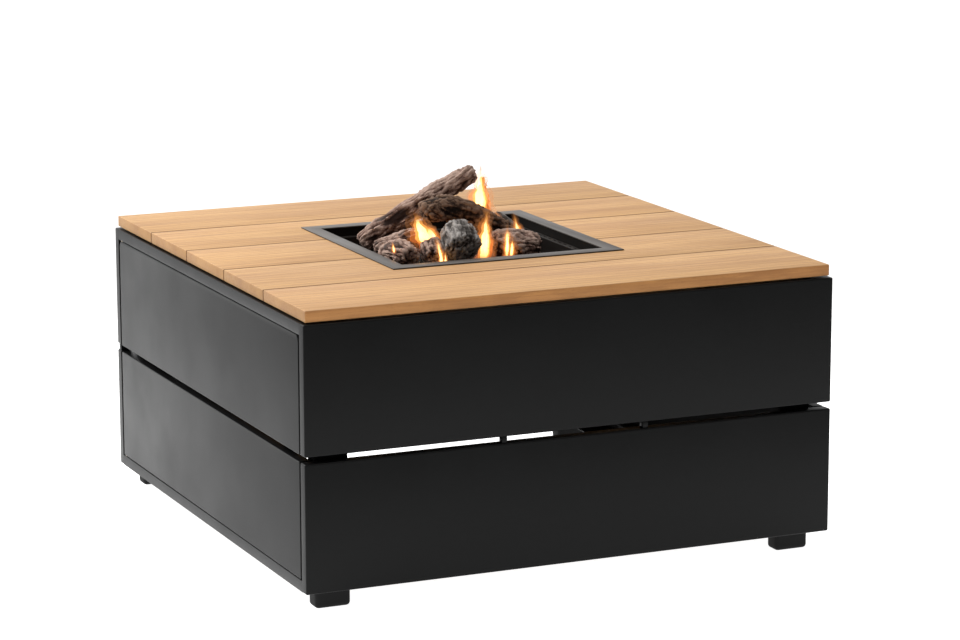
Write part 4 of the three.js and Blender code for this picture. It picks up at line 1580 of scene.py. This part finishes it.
@dataclass
class Controls:
    """The recess with the knob and the igniter button."""

    knob_radius: float = 0.021
    grip_width: float = 0.009
    ribs: int = 24
    bore: float = 0.0043
    skirt_share: float = 0.58
    stem_hole: float = 0.006
    button_hole: float = 0.0113
    marks: int = 7
    marks_away: float = 0.008
    grip_taper: tuple[float, float] = (0.72, 0.94)

    def make_recess(self) -> bpy.types.Object:
        """The sunken tray, with the holes for the valve stem and the igniter and raised dial marks."""
        low, high = box_of("control_recess")
        tray = block("control_recess_tray", low, high)
        sink(tray, looks_right, (SHEET,), (low.x + SHEET - high.x, 0, 0))
        stem = sum(box_of("valve_stem"), Vector()) / 2
        button = sum(box_of("igniter_button"), Vector()) / 2
        holes = [
            drum("hole", (low.x - 0.002, spot.y, spot.z), (low.x + 0.004, spot.y, spot.z), radius)
            for spot, radius in ((stem, self.stem_hole), (button, self.button_hole))
        ]
        tray = cut(tray, *holes)
        soften(tray, 0.0006, 2, 60)
        marks = []
        for i in range(self.marks):
            angle = math.radians(90 - 180 * i / (self.marks - 1))
            out = Vector((0, -math.cos(angle), math.sin(angle))) * (self.knob_radius + self.marks_away)
            spot = Vector((low.x + SHEET, stem.y, stem.z)) + out
            mark = drum("mark", spot, spot + Vector((0.0006, 0, 0)), 0.0009 + 0.00022 * i, 20)
            marks.append(mark)
        return gather("control_recess_tray", [tray, *marks])

    def make_knob(self) -> bpy.types.Object:
        """A round knob with a ribbed skirt, a raised grip and a pointer groove."""
        low, high = box_of("control_knob")
        middle = (low + high) / 2
        step = low.x + (high.x - low.x) * self.skirt_share
        disc = drum(
            "control_knob_moulding", (low.x, middle.y, middle.z), (step, middle.y, middle.z),
            self.knob_radius, 72,
        )
        choose(disc, "FACE", looks_right)
        bpy.ops.mesh.inset(thickness=0.0015, use_boundary=True)
        bpy.ops.mesh.extrude_region_move(TRANSFORM_OT_translate={"value": (0.0012, 0, 0)})
        bpy.ops.mesh.inset(thickness=0.003, use_boundary=True)
        deselect()
        soften(disc, 0.0007, 3, 30)
        half = self.grip_width / 2
        reach = self.knob_radius - 0.003
        grip = block(
            "grip", (step - 0.002, middle.y - half, middle.z - reach),
            (high.x, middle.y + half, middle.z + reach),
        )
        choose(grip, "FACE", looks_right)
        bpy.ops.transform.resize(value=(1, *self.grip_taper), center_override=(high.x, middle.y, middle.z))
        deselect()
        soften(grip, 0.0014, 3, 30)
        groove = block(
            "groove", (high.x - 0.0012, middle.y - 0.0008, middle.z + reach * 0.25),
            (high.x + 0.002, middle.y + 0.0008, middle.z + reach * 0.9),
        )
        grip = cut(grip, groove)
        ribs = []
        for i in range(self.ribs):
            angle = 2 * math.pi * i / self.ribs
            out = Vector((0, math.cos(angle), math.sin(angle))) * (self.knob_radius - 0.0004)
            spot = Vector((low.x + 0.0015, middle.y, middle.z)) + out
            ribs.append(drum("rib", spot, spot + Vector((0.0088, 0, 0)), 0.0009, 8))
        knob = gather("control_knob_moulding", [disc, grip, *ribs])
        stem = box_of("valve_stem")
        bore = drum(
            "bore", (low.x - 0.002, middle.y, middle.z), (stem[1].x + TOUCH, middle.y, middle.z),
            self.bore, 32,
        )
        knob = cut(knob, bore)
        smooth(knob, 35)
        return knob

    def make_button(self) -> bpy.types.Object:
        """A round button with a dished face."""
        low, high = box_of("igniter_button")
        middle = (low + high) / 2
        radius = (high.y - low.y) / 2
        button = drum(
            "igniter_button_steel", (low.x, middle.y, middle.z), (high.x, middle.y, middle.z), radius, 64
        )
        sink(button, looks_right, (0.0012, 0.002), (-0.0007, 0, 0))
        soften(button, 0.0006, 3, 30)
        return button

    def build(self, coat: bpy.types.Material, plastic: bpy.types.Material, steel: bpy.types.Material) -> None:
        """Makes and dresses the recess, the knob and the button.

        Args:
            coat: The recess's coat.
            plastic: The knob's moulding.
            steel: The button's metal.
        """
        place(self.make_recess(), "table", coat, "burner_black", "control_recess")
        place(self.make_knob(), "control_knob", plastic, "black_plastic", "control_knob")
        place(self.make_button(), "igniter_button", steel, "steel", "igniter_button")


# ---------------------------------------------------------------- what the frame already shapes
def dress_frame_nodes(coats: dict[str, bpy.types.Material]) -> None:
    """Gives every CAD node that still shows its finish.

    Args:
        coats: The material of each of the record's slots that such nodes use.
    """
    slots = {part["node"]: part["material_slot"] for part in frame["record"]["subparts"]}
    for name, node in frame["nodes"].items():
        if node.hide_render:
            continue
        material = coats["lead"] if name == "igniter_lead" else coats[slots[name]]
        node.data.materials.clear()
        node.data.materials.append(material)
        log.info("%s keeps its CAD shape", name)


# ---------------------------------------------------------------- the studio
@dataclass
class Studio:
    """The pale floor with its painted pool of light, the soft lights and the camera."""

    eye: Point = (-2.4608, -5.6384, 1.6542)
    heading: float = 23.9221
    tilt: float = 11.8055
    roll: float = -0.0953
    lens: float = 127.81
    sensor: float = 36.0
    key: Point = (-0.30, 0.22, 1.0)
    key_spread: tuple[float, float] = (0.35, 1.0)
    key_power: tuple[float, float] = (0.12, 2.1)
    # A painted pool of light on the floor: full glow near the table, fading to a small share further out.
    pool_light_near: float = 1.0
    pool_light_far: float = 0.14
    pool_light_reach: tuple[float, float] = (1.1, 2.3)
    wall: Point = (-0.35, 0.94, 0.0)
    wall_spread: tuple[float, float] = (0.15, 0.85)
    wall_power: tuple[float, float] = (0.0, 1.05)
    floor_size: float = 60.0
    floor_tone: float = 0.72
    lamp: Point = (-3.4, 2.6, 2.8)
    lamp_target: Point = (-1.6, 1.4, 0.0)
    lamp_size: float = 2.0
    lamp_power: float = 115.0

    def make_camera(self) -> None:
        """Sets the camera at its place."""
        data = bpy.data.cameras.new("camera")
        data.lens = self.lens
        data.sensor_width = self.sensor
        camera = bpy.data.objects.new("camera", data)
        turn = Matrix.Rotation(math.radians(-self.heading), 4, "Z")
        turn = turn @ Matrix.Rotation(math.radians(90 - self.tilt), 4, "X")
        turn = turn @ Matrix.Rotation(math.radians(self.roll), 4, "Z")
        camera.matrix_world = Matrix.Translation(self.eye) @ turn
        bpy.context.scene.collection.objects.link(camera)
        bpy.context.scene.camera = camera

    def make_floor(self) -> None:
        """Lays a pale floor whose glow is a painted pool of light: brightest near the table, fading further
        out, which lifts the table's shadow.
        """
        deselect()
        bpy.ops.mesh.primitive_plane_add(size=self.floor_size)
        floor = settle(bpy.context.object, "studio_floor")
        pale = Finish("studio_floor")
        pale.feed("Base Color", (*(self.floor_tone,) * 3, 1))
        # Painted light: the floor glows brightest near the table and less with distance.
        away = pale.add("ShaderNodeVectorMath", vector=pale.place, operation="LENGTH").outputs["Value"]
        pale.feed("Emission Color", pale.ramp(
            pale.span(away, *self.pool_light_reach), [(0.0, (1.0, 1.0, 1.0)), (1.0, (self.pool_light_far,) * 3)]
        ))
        pale.feed("Emission Strength", self.pool_light_near)
        pale.feed("Roughness", 0.9)
        pale.feed("Specular IOR Level", 0.1)
        floor.data.materials.append(pale.material)

    def make_light(self) -> None:
        """Hangs the square soft light at the left."""
        data = bpy.data.lights.new("left_light", "AREA")
        data.shape = "SQUARE"
        data.size = self.lamp_size
        data.energy = self.lamp_power
        lamp = bpy.data.objects.new("left_light", data)
        lamp.location = self.lamp
        way = Vector(self.lamp_target) - Vector(self.lamp)
        lamp.rotation_euler = way.to_track_quat("-Z", "Y").to_euler()
        bpy.context.scene.collection.objects.link(lamp)

    def make_world(self) -> None:
        """Surrounds the table with pale light that comes mostly from above."""
        world = bpy.data.worlds.new("studio")
        world.use_nodes = True
        sky = Nodes(world.node_tree)
        where = sky.add("ShaderNodeTexCoord").outputs["Generated"]
        glows = []
        for direction, spread, power in (
            (self.key, self.key_spread, self.key_power),
            (self.wall, self.wall_spread, self.wall_power),
        ):
            facing = sky.add("ShaderNodeVectorMath", operation="DOT_PRODUCT")
            sky.join(where, facing.inputs[0])
            sky.join(Vector(direction).normalized(), facing.inputs[1])
            glows.append(sky.span(facing.outputs["Value"], *spread, *power, "SMOOTHSTEP"))
        seen = sky.add("ShaderNodeLightPath").outputs["Is Camera Ray"]
        background = sky.tree.nodes["Background"]
        sky.join((1.0, 1.0, 1.0, 1.0), background.inputs["Color"])
        sky.join(sky.level_between(seen, sky.sum_of(*glows), 1.0), background.inputs["Strength"])
        bpy.context.scene.world = world

    def build(self) -> None:
        """Sets up the camera, the floor and the lights."""
        self.make_camera()
        self.make_floor()
        self.make_world()
        self.make_light()
        bpy.context.scene.view_settings.view_transform = "Standard"


def main() -> None:
    """Builds the table, piece by piece."""
    Studio().build()
    powder, inside = POWDER.build(), INSIDE.build()
    burner, pan, recess, soot_and_shade = BURNER.build(), PAN.build(), RECESS.build(), SOOT_AND_SHADE.build()
    rubber, plastic, steel = RUBBER.build(), PLASTIC.build(), STEEL.build()
    batten = Teak("teak_battens", shift=40.0, tone=0.8).build()
    Shells().build(powder, inside)
    Supports().build(inside, rubber, batten)
    TeakTop().build()
    Burner().build(burner, pan, soot_and_shade)
    Controls().build(recess, plastic, steel)
    LogSet(logs=LOGS).build(LAVA.build())
    FIRE.build()
    dress_frame_nodes({
        "inside_coat": inside,
        "rubber": rubber,
        "steel": steel,
        "brass": BRASS.build(),
        "black_plastic": plastic,
        "white_ceramic": GLAZE.build(),
        "lead": LEAD.build(),
    })


if __name__ == "__main__":
    main()
